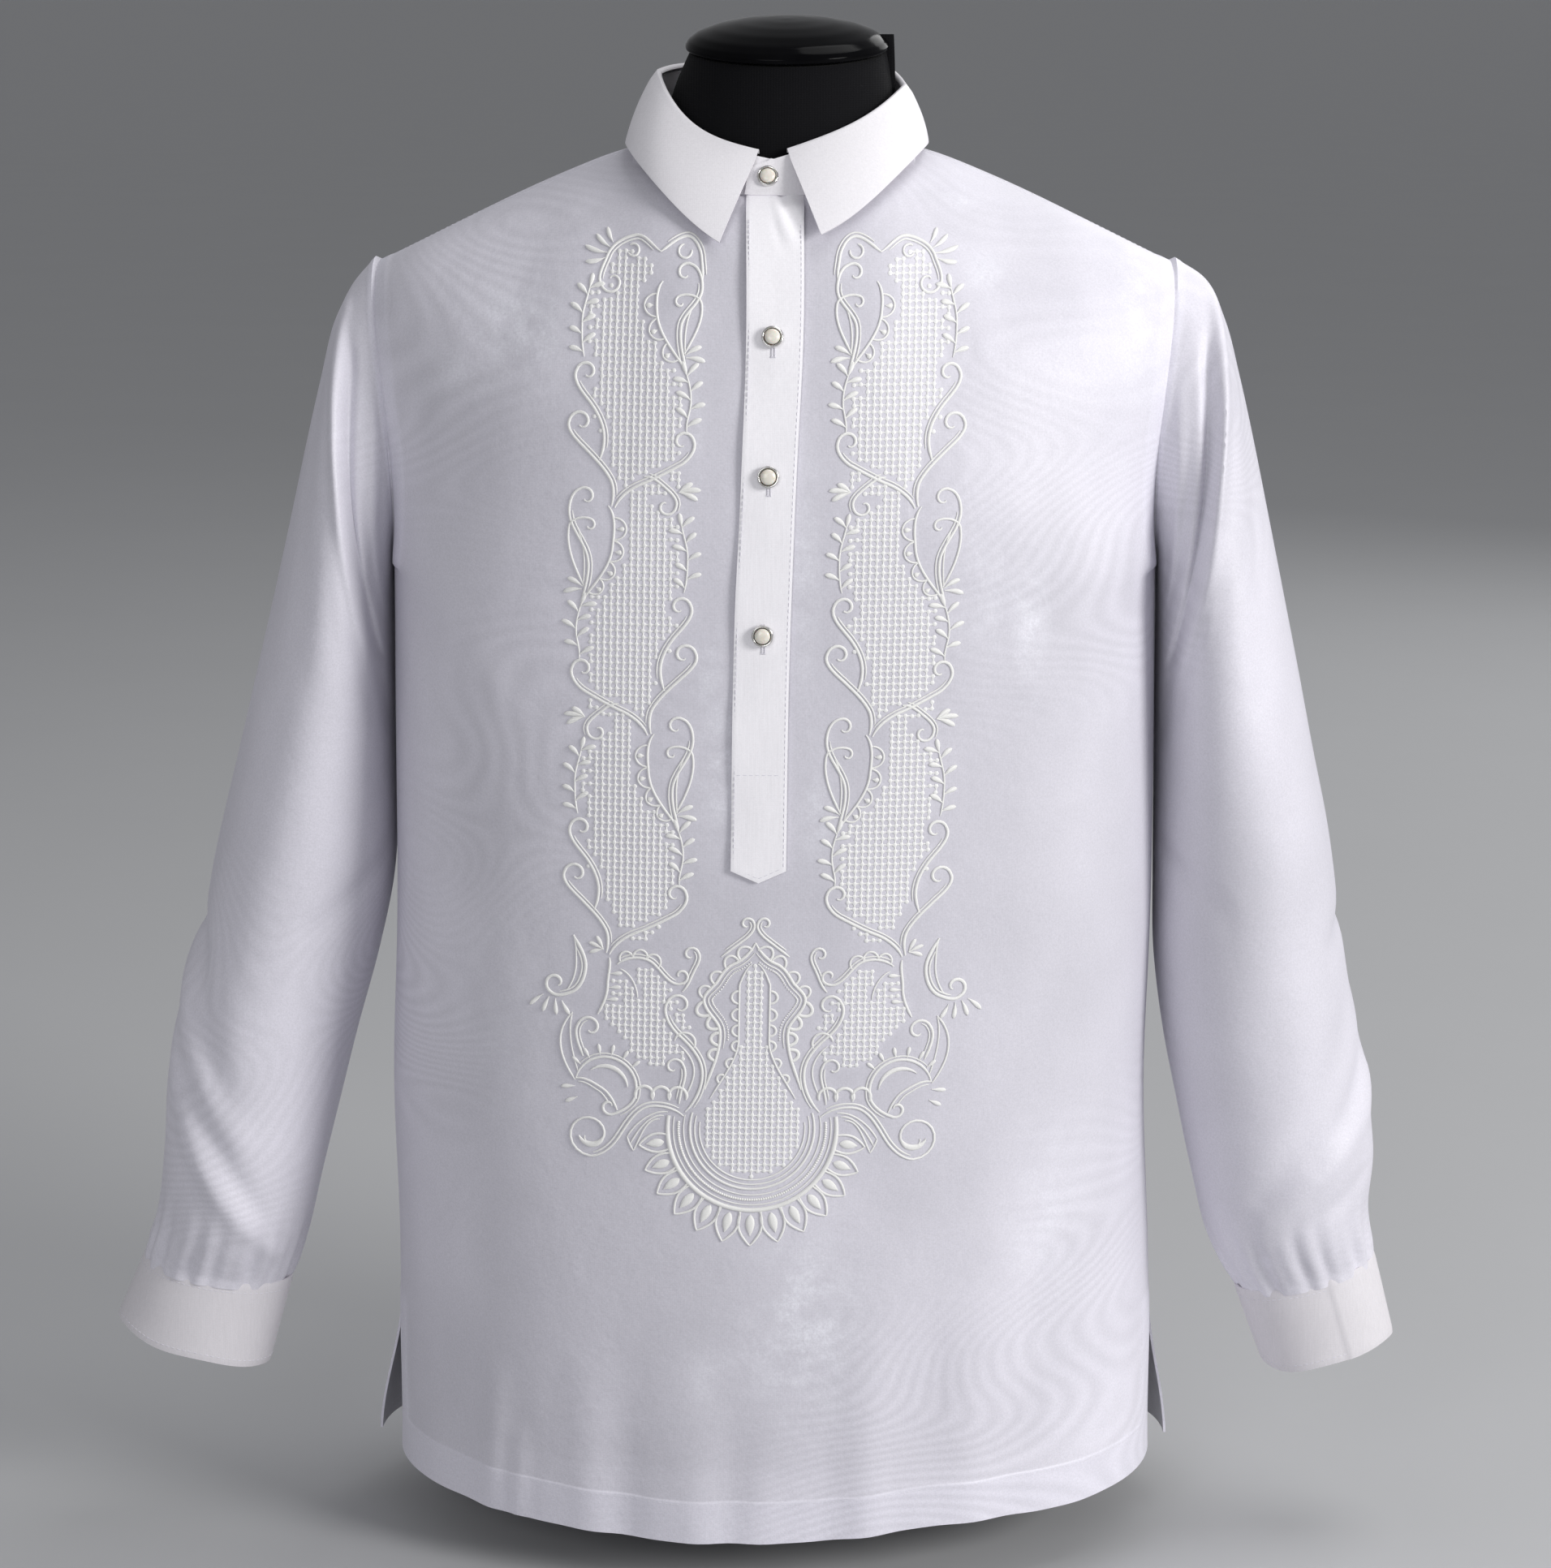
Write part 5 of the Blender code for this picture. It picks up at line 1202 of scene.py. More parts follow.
        put(q, 0.0050 * np.clip(np.sin(math.pi * t ** 0.8), 0.06, 1) ** 0.8, 0.0008 * np.clip(np.sin(math.pi * t), 0.2, 1) ** 0.5, both=False)
    strokes = s.build("embroidery_scrolls", mat_scroll, lambda x, z, l: sheet.lay(x + lean(z), z, l + FACE))

    # the lattice of knots, kept off the strokes
    from mathutils.kdtree import KDTree
    near = np.concatenate(drawn)
    tree = KDTree(len(near))
    for i, q in enumerate(near):
        tree.insert((q[0], q[1], 0.0), i)
    tree.balance()
    gx, gz = np.meshgrid(np.arange(-31, 32) * PITCH, np.arange(0.230, 0.770, PITCH))
    places = np.stack([gx.ravel(), gz.ravel()], -1)
    within = np.zeros(len(places), bool)
    for poly in openwork_fields():
        within |= inside(poly, places)
    places = places[within]
    far = np.array([tree.find((q[0], q[1], 0.0))[2] for q in places]) > 0.00155
    places = places[far]
    k = Strokes()
    a = places + np.stack([np.sin(places[:, 1] * 911.0), np.cos(places[:, 0] * 877.0)], -1) * 0.00018
    k.knots(a, 0.00265, 0.00050, stretch=1.0)
    # the fine threads that cross between knots
    have = {(int(round(q[0] / PITCH)), int(round((q[1] - 0.230) / PITCH))) for q in places}
    for i, j in sorted(have):
        x, z = i * PITCH, 0.230 + j * PITCH
        for di, dj in ((1, 0), (0, 1)):
            if (i + di, j + dj) in have:
                k.SIDES = 3
                k.stroke([(x, z), (x + di * PITCH, z + dj * PITCH)], 0.00095, 0.00030, 0.00006)
    lattice = k.build("embroidery_lattice", mat_knot, lambda x, z, l: sheet.lay(x + lean(z), z, l + FACE))
    return strokes, lattice


# ---------------------------------------------------------------- cloth pieces
WALL = 0.0009
BAND_WALL = 0.0013


def weld_parts(name, parts, mat, crisp=38.0):
    """One object from a few closed bodies."""
    verts, faces, off = [], {}, 0
    for v, sets in parts:
        v = np.asarray(v, float)
        flip = volume_sign(v, sets) < 0
        for f in sets:
            f = np.asarray(f)
            if len(f):
                faces.setdefault(f.shape[1], []).append((f[:, ::-1] if flip else f) + off)
        verts.append(v)
        off += len(v)
    return closed_object(name, np.concatenate(verts), [np.concatenate(f) for f in faces.values()], mat, crisp)


def cord_part(points, normals, width, height, sides=5, sunk=0.0002, ring=False):
    """A half-round raised seam or stitch along points, standing out along normals."""
    p, n = np.asarray(points, float), np.asarray(normals, float)
    if ring:
        t = np.roll(p, -1, axis=0) - np.roll(p, 1, axis=0)
    else:
        t = np.gradient(p, axis=0)
    m = np.cross(n, t)
    m /= np.maximum(np.linalg.norm(m, axis=1, keepdims=True), 1e-12)
    th = np.linspace(0, math.pi, sides)
    w = np.broadcast_to(np.asarray(width, float), len(p))[:, None, None]
    h = np.broadcast_to(np.asarray(height, float), len(p))[:, None, None]
    q = (p[:, None] + m[:, None] * (-np.cos(th) * 0.5)[None, :, None] * w
         + n[:, None] * (np.sin(th)[None, :, None] * (h + sunk) - sunk))
    i = np.arange(len(p) * sides).reshape(len(p), sides)
    j = np.roll(i, -1, axis=0) if ring else i[1:]
    k = i if ring else i[:-1]
    quads = [np.stack([k[:, :-1], k[:, 1:], j[:, 1:], j[:, :-1]], -1).reshape(-1, 4), np.stack([k[:, -1], k[:, 0], j[:, 0], j[:, -1]], -1)]
    sets = [np.concatenate(quads)]
    if not ring:
        sets.append(np.stack([i[0][::-1], i[-1]]))
    return q.reshape(-1, 3), sets


def dashes(points, normals, length=0.0022, pitch=0.0034, width=0.00042, height=0.00022):
    """Running stitches along a line."""
    p, n = np.asarray(points, float), np.asarray(normals, float)
    at = np.concatenate([[0], np.cumsum(np.linalg.norm(np.diff(p, axis=0), axis=1))])
    parts = []
    for start in np.arange(0.0008, at[-1] - length, pitch):
        s = np.linspace(start, start + length, 4)
        q = np.stack([np.interp(s, at, p[:, c]) for c in range(3)], -1)
        m = np.stack([np.interp(s, at, n[:, c]) for c in range(3)], -1)
        q[[0, -1]] -= m[[0, -1]] * height * 0.8
        parts.append(cord_part(q, m, width, height, 4, 0.0001))
    return parts


def grid_with_normals(fn, a, b, sgn=1.0, e=1e-3):
    p = fn(a, b)
    n = np.cross(fn(a + e, b) - fn(a - e, b), fn(a, b + e) - fn(a, b - e)) * sgn
    return p, n / np.maximum(np.linalg.norm(n, axis=-1, keepdims=True), 1e-12)


def set_point_value(ob, name, value):
    attr = ob.data.attributes.new(name, "FLOAT", "POINT")
    attr.data.foreach_set("value", np.asarray(value, np.float32).ravel())


HEM_TOP = 0.0650


def blur_rows(at, sigma):
    """Weights that smooth values given at uneven places."""
    at = np.asarray(at, float)
    step = np.gradient(at)
    w = np.exp(-0.5 * ((at[:, None] - at[None, :]) / sigma) ** 2) * step[None, :]
    return w / w.sum(axis=1, keepdims=True)


def eased_grid(p, xf, row):
    """Softens the bend beside the neck point and the one level with the underarm."""
    ax = np.abs(xf)[None, :]
    rr = row[:, None]
    out = p.copy()
    run = np.concatenate([[0], np.cumsum(np.linalg.norm(np.diff(p[:, len(xf) // 2], axis=0), axis=1))])
    level = np.interp(1.0, row, run)
    down = blur_rows(run, 0.016)
    w = np.exp(-((run - level - 0.012) / 0.050) ** 2)[:, None] * ease((ax - 0.46) / 0.14) * (1 - ease((ax - 0.925) / 0.06))
    for c in (1, 2):
        moved = down @ p[..., c]
        flat = down @ np.broadcast_to(run[:, None], p.shape[:2]) if c == 2 else None
        if c == 2:                                            # keep heights, smooth only what departs from the run
            moved = down @ (p[..., 2] - run[:, None]) + run[:, None]
        out[..., c] = out[..., c] * (1 - w) + moved * w
    out[..., 2] -= 0.0085 * (1 - ease((run[:, None] / 0.16))) * (1 - ax ** 2)
    base = out.copy()
    across = blur_rows(xf * 0.22, 0.0105)
    w = np.exp(-((ax - 0.349) / 0.17) ** 2) * ease((rr - 1.08) / 0.25) * (1 - ease((rr - 1.955) / 0.04))
    for c in (1, 2):
        out[..., c] = base[..., c] * (1 - w) + (base[..., c] @ across.T) * w
    return out


# Painted sheen on the front, highlight spots painted lighter into the cloth colour: x, z, half width, half height,
# strength.
PAINTED_SHEEN_SPOTS = ((-0.0262, 0.4800, 0.0090, 0.0330, 1.0), (-0.0330, 0.5350, 0.0070, 0.0180, 0.6), (0.0255, 0.4560, 0.0080, 0.0240, 0.7),
           (0.0190, 0.5900, 0.0060, 0.0600, 0.7), (0.0200, 0.1640, 0.0270, 0.0480, 1.0), (-0.0330, 0.1300, 0.0160, 0.0180, 0.45),
           (0.1400, 0.5590, 0.0085, 0.0330, 0.75), (0.1150, 0.5770, 0.0100, 0.0270, 0.6), (0.1160, 0.7430, 0.0110, 0.0110, 0.7),
           (0.1010, 0.7820, 0.0090, 0.0050, 0.8), (0.2020, 0.7200, 0.0120, 0.0420, 0.6), (-0.1350, 0.7150, 0.0300, 0.0260, 0.75),
           (-0.1700, 0.6900, 0.0180, 0.0140, 0.3), (-0.1500, 0.3300, 0.0200, 0.0600, 0.25), (0.1550, 0.2100, 0.0200, 0.0600, 0.4),
           (-0.0400, 0.6750, 0.0050, 0.0300, 0.4), (0.0420, 0.7400, 0.0050, 0.0200, 0.5))


def build_panel(side, name, mat, neck_cols, side_cols, low_step, up_rows):
    xf = panel_columns(neck_cols, side_cols)
    z = np.concatenate([[0.0400, 0.0403, 0.0410], np.arange(0.0430, 0.0636, 0.0034), [0.0640, 0.0645, 0.0649, 0.0653, 0.0658, 0.0672],
                        np.arange(0.0700, 0.5750, low_step)])
    low = (z - HEM_Z) / (UNDERARM_Z - HEM_Z)
    up = 1 + np.linspace(0, 1, up_rows + 1) ** 0.92
    row = np.concatenate([low, up])
    row[-1] = 2 - 0.0022
    xx, rr = np.meshgrid(xf, row)
    p = eased_grid(shirt_point(side, xx, rr), xf, row)
    zz = HEM_Z + (UNDERARM_Z - HEM_Z) * np.clip(rr, 0, 1)
    ax = np.abs(xx)
    hem = 1 - ease((zz - HEM_TOP + 0.0008) / 0.0012)
    vent = ease((ax - 0.962) / 0.010) * (1 - ease((zz - VENT_TOP_Z - 0.004) / 0.010))
    arm = ease((ax - 0.957) / 0.010) * ease((rr - 1.0) / 0.02) * 0.8
    folded = np.maximum(np.maximum(hem, vent), arm)
    seam = np.maximum(hem, np.maximum(vent, arm))
    ob = shell(name, p, WALL, mat, sgn=-side, raised=0.00050 * folded)
    set_point_value(ob, "double", np.tile(seam.ravel(), 2))
    near = ease((0.182 - np.abs(p[..., 0])) / 0.030) * ease((0.800 - p[..., 2]) / 0.03) * ease((p[..., 2] - 0.070) / 0.012)
    set_point_value(ob, "veil", np.tile(near.ravel(), 2))
    sheet = Sheet(xf, row, p, grid_normals(p, False) * -side)
    if side < 0:
        mask = np.zeros(p.shape[:2])
        flat = p.reshape(-1, 3)[:, [0, 2]]
        flat = flat - np.stack([lean(flat[:, 1]), np.zeros(len(flat))], -1)
        for poly in openwork_fields():
            mask = np.maximum(mask, inside(poly, flat).reshape(mask.shape))
        front_only = (p[..., 1] < 0)
        set_point_value(ob, "openwork", np.tile((mask * front_only).ravel(), 2))
        # painted sheen: how strongly the highlight spots are painted into the front's colour at each point
        painted_sheen_level = sum(g * np.exp(-((p[..., 0] - x) / rx) ** 2 - ((p[..., 2] - z) / rz) ** 2) for x, z, rx, rz, g in PAINTED_SHEEN_SPOTS)
        set_point_value(ob, "painted_sheen", np.tile(np.clip(painted_sheen_level * front_only, 0, 1).ravel(), 2))
    return ob, sheet


def build_sleeve(side, name, mat):
    u = np.linspace(0, 1, 149)[:-1]
    v = np.concatenate([np.linspace(0, 0.20, 46), np.linspace(0.20, 0.86, 92)[1:], np.linspace(0.86, 1.0, 34)[1:]])
    uu, vv = np.meshgrid(u, v)
    seam = np.exp(-((np.minimum(uu, 1 - uu) * 0.40) / 0.0022) ** 2) * 0.0004
    head = (1 - ease((vv - 0.010) / 0.006)) * 0.0003
    p = sleeve_point(side, uu, vv)
    # both ends run on a little, tucked inside the armhole and the cuff
    extra, way = [], p[-1] - p[-3]
    way = way.mean(axis=0) / np.linalg.norm(way.mean(axis=0))
    for push, scale in ((0.0045, 0.978), (0.0016, 0.994)):
        c = p[0].mean(axis=0)
        extra.append(c + (p[0] - c) * scale + np.array([-side * push, 0, 0]))
    tail = []
    for push, scale in ((0.0022, 0.985), (0.0060, 0.965)):
        c = p[-1].mean(axis=0)
        tail.append(c + (p[-1] - c) * scale + way * push)
    p = np.concatenate([np.array(extra), p, np.array(tail)])
    rise = np.concatenate([np.zeros((2, p.shape[1])), seam + head, np.zeros((2, p.shape[1]))])
    ob = shell(name, p, WALL, mat, sgn=-side, wrap=True, raised=rise)
    set_point_value(ob, "double", np.tile(np.clip(rise / 0.0003, 0, 1).ravel(), 2))
    return ob


def cuff_point(side, u, v):
    rows = CUFF_LEFT_ARM if side > 0 else CUFF_RIGHT_ARM
    p = tube_point(rows, side, u, v) - np.array([0, 0, 0.0016])
    low = ease((v - 0.3) / 0.7)
    p[..., 2] += (0.0009 * np.sin(2 * math.pi * 3 * u + 1.1 * side) + 0.0006 * np.sin(2 * math.pi * 5 * u + 0.7)) * low
    p[..., 1] -= 0.0009 * np.sin(2 * math.pi * 2 * u + 0.5 * side) * low
    return p


def build_cuff(side, name, mat):
    u = np.linspace(0, 1, 161)[:-1]
    v = np.array([0.0, 0.01, 0.03, 0.06, 0.09, 0.115, 0.135, 0.16] + list(np.linspace(0.2, 0.9, 17)) + [0.94, 0.97, 0.99, 1.0])
    uu, vv = np.meshgrid(u, v)
    lap_at = 0.285 if side > 0 else 0.700
    d = (uu - lap_at) * (1 if side > 0 else -1)
    lap = ease(d / 0.006) * (1 - ease((d - 0.05) / 0.22)) * 0.0009
    edge = np.minimum(vv, 1 - vv)
    puff = ease(edge / 0.05) * 0.00035
    return shell(name, cuff_point(side, uu, vv), BAND_WALL - 0.0003, mat, sgn=-side, wrap=True, raised=puff + lap)


def stand_tab(mat_wall=0.0010):
    """The lapped front end of the neck band, with its rounded corner."""
    v = np.linspace(-0.13, 0.985, 30)
    left = -0.0136 + 0.0116 * ease((v - 0.44) / 0.56) ** 1.6
    k = np.linspace(0, 1, 40)
    x = left[:, None] * (1 - k) + 0.0230 * k
    a = np.arcsin(x / 0.074)
    vv = np.broadcast_to(v[:, None], x.shape)
    p = stand_point(a, vv)
    n = grid_normals(p, False)
    n *= np.sign((n * np.array([0, -1, 0.0])).sum(-1, keepdims=True))
    return p + n * (0.00150 - 0.0011 * ease((k - 0.55) / 0.45)[None, :, None]), n


def build_collar(mat):
    a = np.linspace(0, 2 * math.pi, 221)[:-1]
    v = np.concatenate([[-0.12, -0.10], np.linspace(-0.06, 0.96, 22), [0.988, 1.0]])
    aa, vv = np.meshgrid(a, v)
    p = stand_point(aa, vv)
    stand = shell("collar_stand_cloth", p, BAND_WALL, mat, sgn=1.0, wrap=True)
    tp, tn = stand_tab()
    tab = shell("collar_tab", tp, 0.0011, mat, sgn=1.0)
    s = np.concatenate([[0, 0.0016, 0.004], np.linspace(0.009, 0.991, 230), [0.996, 0.9984, 1.0]])
    v = np.concatenate([np.linspace(-1, 0, 9), np.linspace(0, 0.12, 9)[1:], np.linspace(0.12, 0.95, 34)[1:], [0.975, 0.99, 1.0]])
    ss, vv = np.meshgrid(s, v)
    p = leaf_point(ss, vv)
    wave = 0.0006 * np.sin(ss * 19.0 + 0.8) * ease((vv - 0.2) / 0.8)
    n = grid_normals(p, False)
    edge = np.minimum(np.minimum(ss, 1 - ss) * 8.5, (1 - vv) * 1.0)
    puff = ease(edge / 0.06) * 0.00030
    leaf = shell("collar_leaf_cloth", p + n * wave[..., None], BAND_WALL - 0.0002, mat, sgn=1.0, raised=puff)
    return stand, tab, leaf


def placket_rise(z):
    return 0.0011 * ease((z - 0.69) / 0.06)


def build_placket(mat):
    t = np.linspace(0, 1, 190)
    k = np.concatenate([[-1, -0.985, -0.95], np.linspace(-0.9, 0.9, 31), [0.95, 0.985, 1.0]])
    zt = PLACKET_TIP_Z + 0.0068 * np.abs(k)
    zz = zt[None, :] + (0.7832 - zt)[None, :] * t[:, None]
    xx = placket_mid_x(zz) + PLACKET_HALF * k[None, :]
    # the strip bows out a little between buttons, with gathers under the neck band
    gather = 0.0007 * np.sin(xx * 520.0 + zz * 260.0) * ease((zz - 0.752) / 0.018) * ease((xx + 0.002) / 0.008)
    bow = 0.0005 * np.sin((zz - 0.40) * 2 * math.pi / 0.078) * (k[None, :] < 0) * np.abs(k[None, :])
    tuck = ease((zz - 0.7745) / 0.0065) * 0.0021
    strip, _ = on_front(xx, zz, 0.00190 + placket_rise(zz) + bow + gather - tuck)
    edge = np.minimum(1 - np.abs(k)[None, :] + 0 * zz, t[:, None] * 24)
    puff = ease(edge / 0.10) * 0.00025
    return shell("placket_cloth", strip, BAND_WALL - 0.0002, mat, sgn=1.0, raised=puff)


def on_placket(x, z, extra=0.0):
    return on_front(x, z, 0.00190 + placket_rise(np.asarray(z, float)) + BAND_WALL / 2 + 0.0002 + extra)


def build_seams(sheets, mat_seam, mat_stitch):
    """Raised seams between the pieces, and rows of small stitches."""
    seams, rows = [], []
    for side in (-1, 1):
        for arm in (-1, 1):
            # armhole, and the side seam from the vent up
            row = np.linspace(1.0, 1.985, 90)
            p, n = sheets[side].at(np.full(90, 0.992 * arm), row)
            seams.append(cord_part(p + n * 0.0003, n, 0.0024, 0.0007, sunk=0.0006))
        x = np.linspace(-0.985, 0.985, 400)
        p, n = sheets[side].at(x, np.full(400, (0.0630 - HEM_Z) / (UNDERARM_Z - HEM_Z)))
        rows += dashes(p + n * 0.00092, n)
        for arm in (-1, 1):
            z = np.linspace(0.064, 0.130, 60)
            p, n = sheets[side].at(np.full(60, 0.9700 * arm), (z - HEM_Z) / (UNDERARM_Z - HEM_Z))
            rows += dashes(p + n * 0.00090, n)
    for arm in (-1, 1):
        z = np.linspace(0.134, 0.572, 150)
        f = sheets[-1].at(np.full(150, 0.9990 * arm), (z - HEM_Z) / (UNDERARM_Z - HEM_Z))[0]
        b = sheets[1].at(np.full(150, 0.9990 * arm), (z - HEM_Z) / (UNDERARM_Z - HEM_Z))[0]
        n = np.zeros((150, 3))
        n[:, 0] = arm
        seams.append(cord_part((f + b) / 2, n, 0.0020, 0.0006, sunk=0.0006))
        # shoulder seam
        x = np.linspace(0.352, 0.985, 110) * arm
        f, b = sheets[-1].at(x, np.full(110, 1.9978))[0], sheets[1].at(x, np.full(110, 1.9978))[0]
        n = np.zeros((110, 3))
        n[:, 2], n[:, 1] = 0.95, -0.30
        seams.append(cord_part((f + b) / 2, n / np.linalg.norm(n[0]), 0.0018, 0.0006, sunk=0.0006))
        x2 = np.linspace(0.36, 0.97, 110) * arm
        p, n = sheets[1].at(x2, np.full(110, 1.965))
        rows += dashes(p + n * 0.0005, n)
        # cuff seams and their stitches
        u = np.linspace(0, 1, 161)
        p, n = grid_with_normals(lambda a, b: cuff_point(arm, a, b), u, np.full(161, 0.115), -arm)
        rows += dashes(p + n * 0.00095, n)
        p, n = grid_with_normals(lambda a, b: cuff_point(arm, a, b), u, np.full(161, 0.925), -arm)
        rows += dashes(p + n * 0.00095, n)
    # placket: both edges, the tip and the row across
    z = np.linspace(0.4275, 0.770, 260)
    for k in (-0.90, 0.90):
        p, n = on_placket(placket_mid_x(z) + PLACKET_HALF * k, z)
        rows += dashes(p, n)
    x = np.linspace(-0.88, 0.88, 40)
    for zz in (np.full(40, 0.4790), PLACKET_TIP_Z + 0.0026 + 0.0068 * np.abs(x)):
        p, n = on_placket(placket_mid_x(zz) + PLACKET_HALF * x, zz)
        rows += dashes(p, n)
    seam = weld_parts("raised_seams", seams, mat_seam, 60.0)
    set_point_value(seam, "double", np.ones(len(seam.data.vertices)))
    stitch = weld_parts("stitch_rows", rows, mat_stitch, 70.0)
    set_point_value(stitch, "along", np.zeros(len(stitch.data.vertices)))
    return seam, stitch


# ---------------------------------------------------------------- buttons
BUTTONS = dict(x=(-0.0030, 0.0010, -0.0010, -0.0040), z=(0.7940, 0.7116, 0.6400, 0.5555))
RIM = ((0.0, 0.0), (0.0046, 0.0), (0.0056, 0.0003), (0.0060, 0.0009), (0.0060, 0.0019), (0.0058, 0.0025), (0.0054, 0.0028),
       (0.0049, 0.0027), (0.0046, 0.0023), (0.0045, 0.0016), (0.0, 0.0016))
PEARL = ((0.0, 0.0), (0.0038, 0.0), (0.0042, 0.0003), (0.00415, 0.0008), (0.0037, 0.0015), (0.0028, 0.0020), (0.0016, 0.0023), (0.0, 0.0024))


def button_place(i):
    x, z = BUTTONS["x"][i], BUTTONS["z"][i]
    if i == 0:
        a = math.asin(x / SHIRT_CUT["hps_x"])
        p, q = stand_point(np.array(a), np.array(0.42)), stand_point(np.array(a), np.array(0.52))
        up = (q - p) / np.linalg.norm(q - p)
        n = np.cross(np.array([1.0, 0, 0]), up)
        n /= np.linalg.norm(n)
        return p + n * (BAND / 2 + 0.0006), n
    return on_front(np.array(x), np.array(z), np.array(CLOTH / 2 + BAND + 0.0013 + 0.0011 * float(ease((z - 0.69) / 0.06))))


def build_buttons(mat_rim, mat_pearl, mat_thread):
    holes = []
    made = []
    for i in range(4):
        base, n = button_place(i)
        made.append(lathe("button_rim_%d" % (i + 1), smooth_profile(RIM, 4), 56, mat_rim, base, n))
        made.append(lathe("button_pearl_%d" % (i + 1), smooth_profile(PEARL, 4), 48, mat_pearl, base + n * 0.0019, n))
        if i:                                                 # the buttonhole's worked edges, seen below the button
            x, z = BUTTONS["x"][i] + 0.0004, BUTTONS["z"][i]
            zz = np.linspace(z - 0.0098, z + 0.0060, 18)
            for dx in (-0.0008, 0.0008):
                p, m = on_placket(x + dx + 0 * zz, zz)
                holes.append(cord_part(p, m, 0.0011, 0.0004, 6))
            xx = np.linspace(x - 0.0012, x + 0.0012, 8)
            for ze in (z - 0.0098,):
                p, m = on_placket(xx, ze + 0 * xx)
                holes.append(cord_part(p, m, 0.0011, 0.0005, 6))
    bars = weld_parts("buttonhole_edges", holes, mat_thread, 60.0)
    set_point_value(bars, "along", np.linspace(0, 0.4, len(bars.data.vertices)))
    return made, bars


# ---------------------------------------------------------------- dress form
CAP = dict(x=0.0070, y=-0.0040, z=0.8600, radius=0.0565, tilt=math.radians(8.0))
CAP_PROFILE = ((0.0, 0.0), (0.0530, 0.0), (0.0563, 0.0016), (0.0565, 0.0036), (0.0550, 0.0062), (0.0500, 0.0098),
               (0.0400, 0.0134), (0.0270, 0.0160), (0.0130, 0.0174), (0.0, 0.0178))


def build_form(mat):
    import bmesh
    k = FORM_CUT["hps_x"] / FORM_CUT["tip_x"]
    a = np.sin(np.linspace(0, math.pi / 2, 17)) * k
    b = np.sin(np.linspace(math.asin(k ** 1.12), math.pi / 2, 34)) ** (1 / 1.12)
    half = np.concatenate([a, b[1:]])
    xf = np.concatenate([-half[::-1], half[1:]])
    row = np.concatenate([(0.0, 0.004, 0.012, 0.025), np.linspace(0.045, 1, 60), 1 + np.linspace(0, 1, 41)[1:]])
    bm = bmesh.new()

    def grid(points, flip):
        rows, cols = points.shape[:2]
        g = [[bm.verts.new(points[j, i]) for i in range(cols)] for j in range(rows)]
        for j in range(rows - 1):
            for i in range(cols - 1):
                f = (g[j][i], g[j][i + 1], g[j + 1][i + 1], g[j + 1][i])
                bm.faces.new(f[::-1] if flip else f)

    for side, flip in ((-1, False), (1, True)):
        p = panel_point(FORM_CUT, side, xf[None, :], row[:, None])
        tuck = 1 - ease(row[:, None] / 0.025)                      # the cover turns under the base
        p[..., 0] *= 1 - 0.012 * tuck
        p[..., 1] *= 1 - 0.020 * tuck
        grid(p, flip)
    ang = np.concatenate([np.linspace(0, math.pi / 2, 17), math.pi - np.linspace(0, math.pi / 2, 17)[::-1][1:]])
    ang = np.concatenate([ang, 2 * math.pi - ang[::-1][1:-1]])
    c = np.cos(ang)
    base = np.stack([FORM_CUT["hps_x"] * np.sin(ang),
                     np.where(c > 0, -FORM_CUT["neck_front_y"], -FORM_CUT["neck_back_y"]) * c,
                     FORM_CUT["hps_z"] + np.where(c > 0, -(FORM_CUT["hps_z"] - FORM_CUT["neck_front_z"]) * np.abs(c) ** 1.6,
                                                  (FORM_CUT["neck_back_z"] - FORM_CUT["hps_z"]) * np.abs(c) ** 1.5)], axis=-1)
    tx, ty = np.sin(ang) * 0.0540, -np.cos(ang) * 0.0540
    top = np.stack([CAP["x"] + tx, CAP["y"] + ty * math.cos(CAP["tilt"]),
                    CAP["z"] - 0.0004 + ty * math.sin(CAP["tilt"])], axis=-1)
    rings = []
    for t in np.linspace(0, 1, 26):
        pull = -0.0036 * math.sin(math.pi * t)
        p = base * (1 - t) + top * t
        p[:, 0] -= np.sin(ang) * pull
        p[:, 1] += np.cos(ang) * pull
        seam = np.exp(-(((ang - math.pi / 2 + math.pi) % (2 * math.pi) - math.pi) / 0.05) ** 2) * 0.0010
        p[:, 0] += np.sin(ang) * seam
        rings.append([bm.verts.new(q) for q in p])
    n = len(ang)
    for lo, hi in zip(rings[:-1], rings[1:]):
        for i in range(n):
            j = (i + 1) % n
            bm.faces.new((lo[i], lo[j], hi[j], hi[i]))
    bm.faces.new(rings[-1])
    bmesh.ops.remove_doubles(bm, verts=bm.verts, dist=2e-5)
    bmesh.ops.holes_fill(bm, edges=[e for e in bm.edges if e.is_boundary], sides=0)
    bmesh.ops.recalc_face_normals(bm, faces=bm.faces)
    mesh = bpy.data.meshes.new("form_cover")
    bm.to_mesh(mesh)
    bm.free()
    mesh.materials.append(mat)
    mesh.shade_smooth()
    mesh.set_sharp_from_angle(angle=math.radians(40))
    ob = bpy.data.objects.new("form_cover", mesh)
    bpy.context.scene.collection.objects.link(ob)
    return ob


def build_neck_fin(mat):
    """The upstanding seam of the neck cover at the wearer's left."""
    z = np.linspace(0.8120, 0.8690, 20)
    x = 0.0605 + 0.0014 * np.sin((z - 0.80) * 40)
    p = np.stack([x, np.full(20, -0.0030), z], -1)
    n = np.tile(np.array([[1.0, 0, 0]]), (20, 1))
    return weld_parts("form_neck_seam", [cord_part(p, n, 0.0018, 0.0052, 9, 0.003)], mat, 60.0)


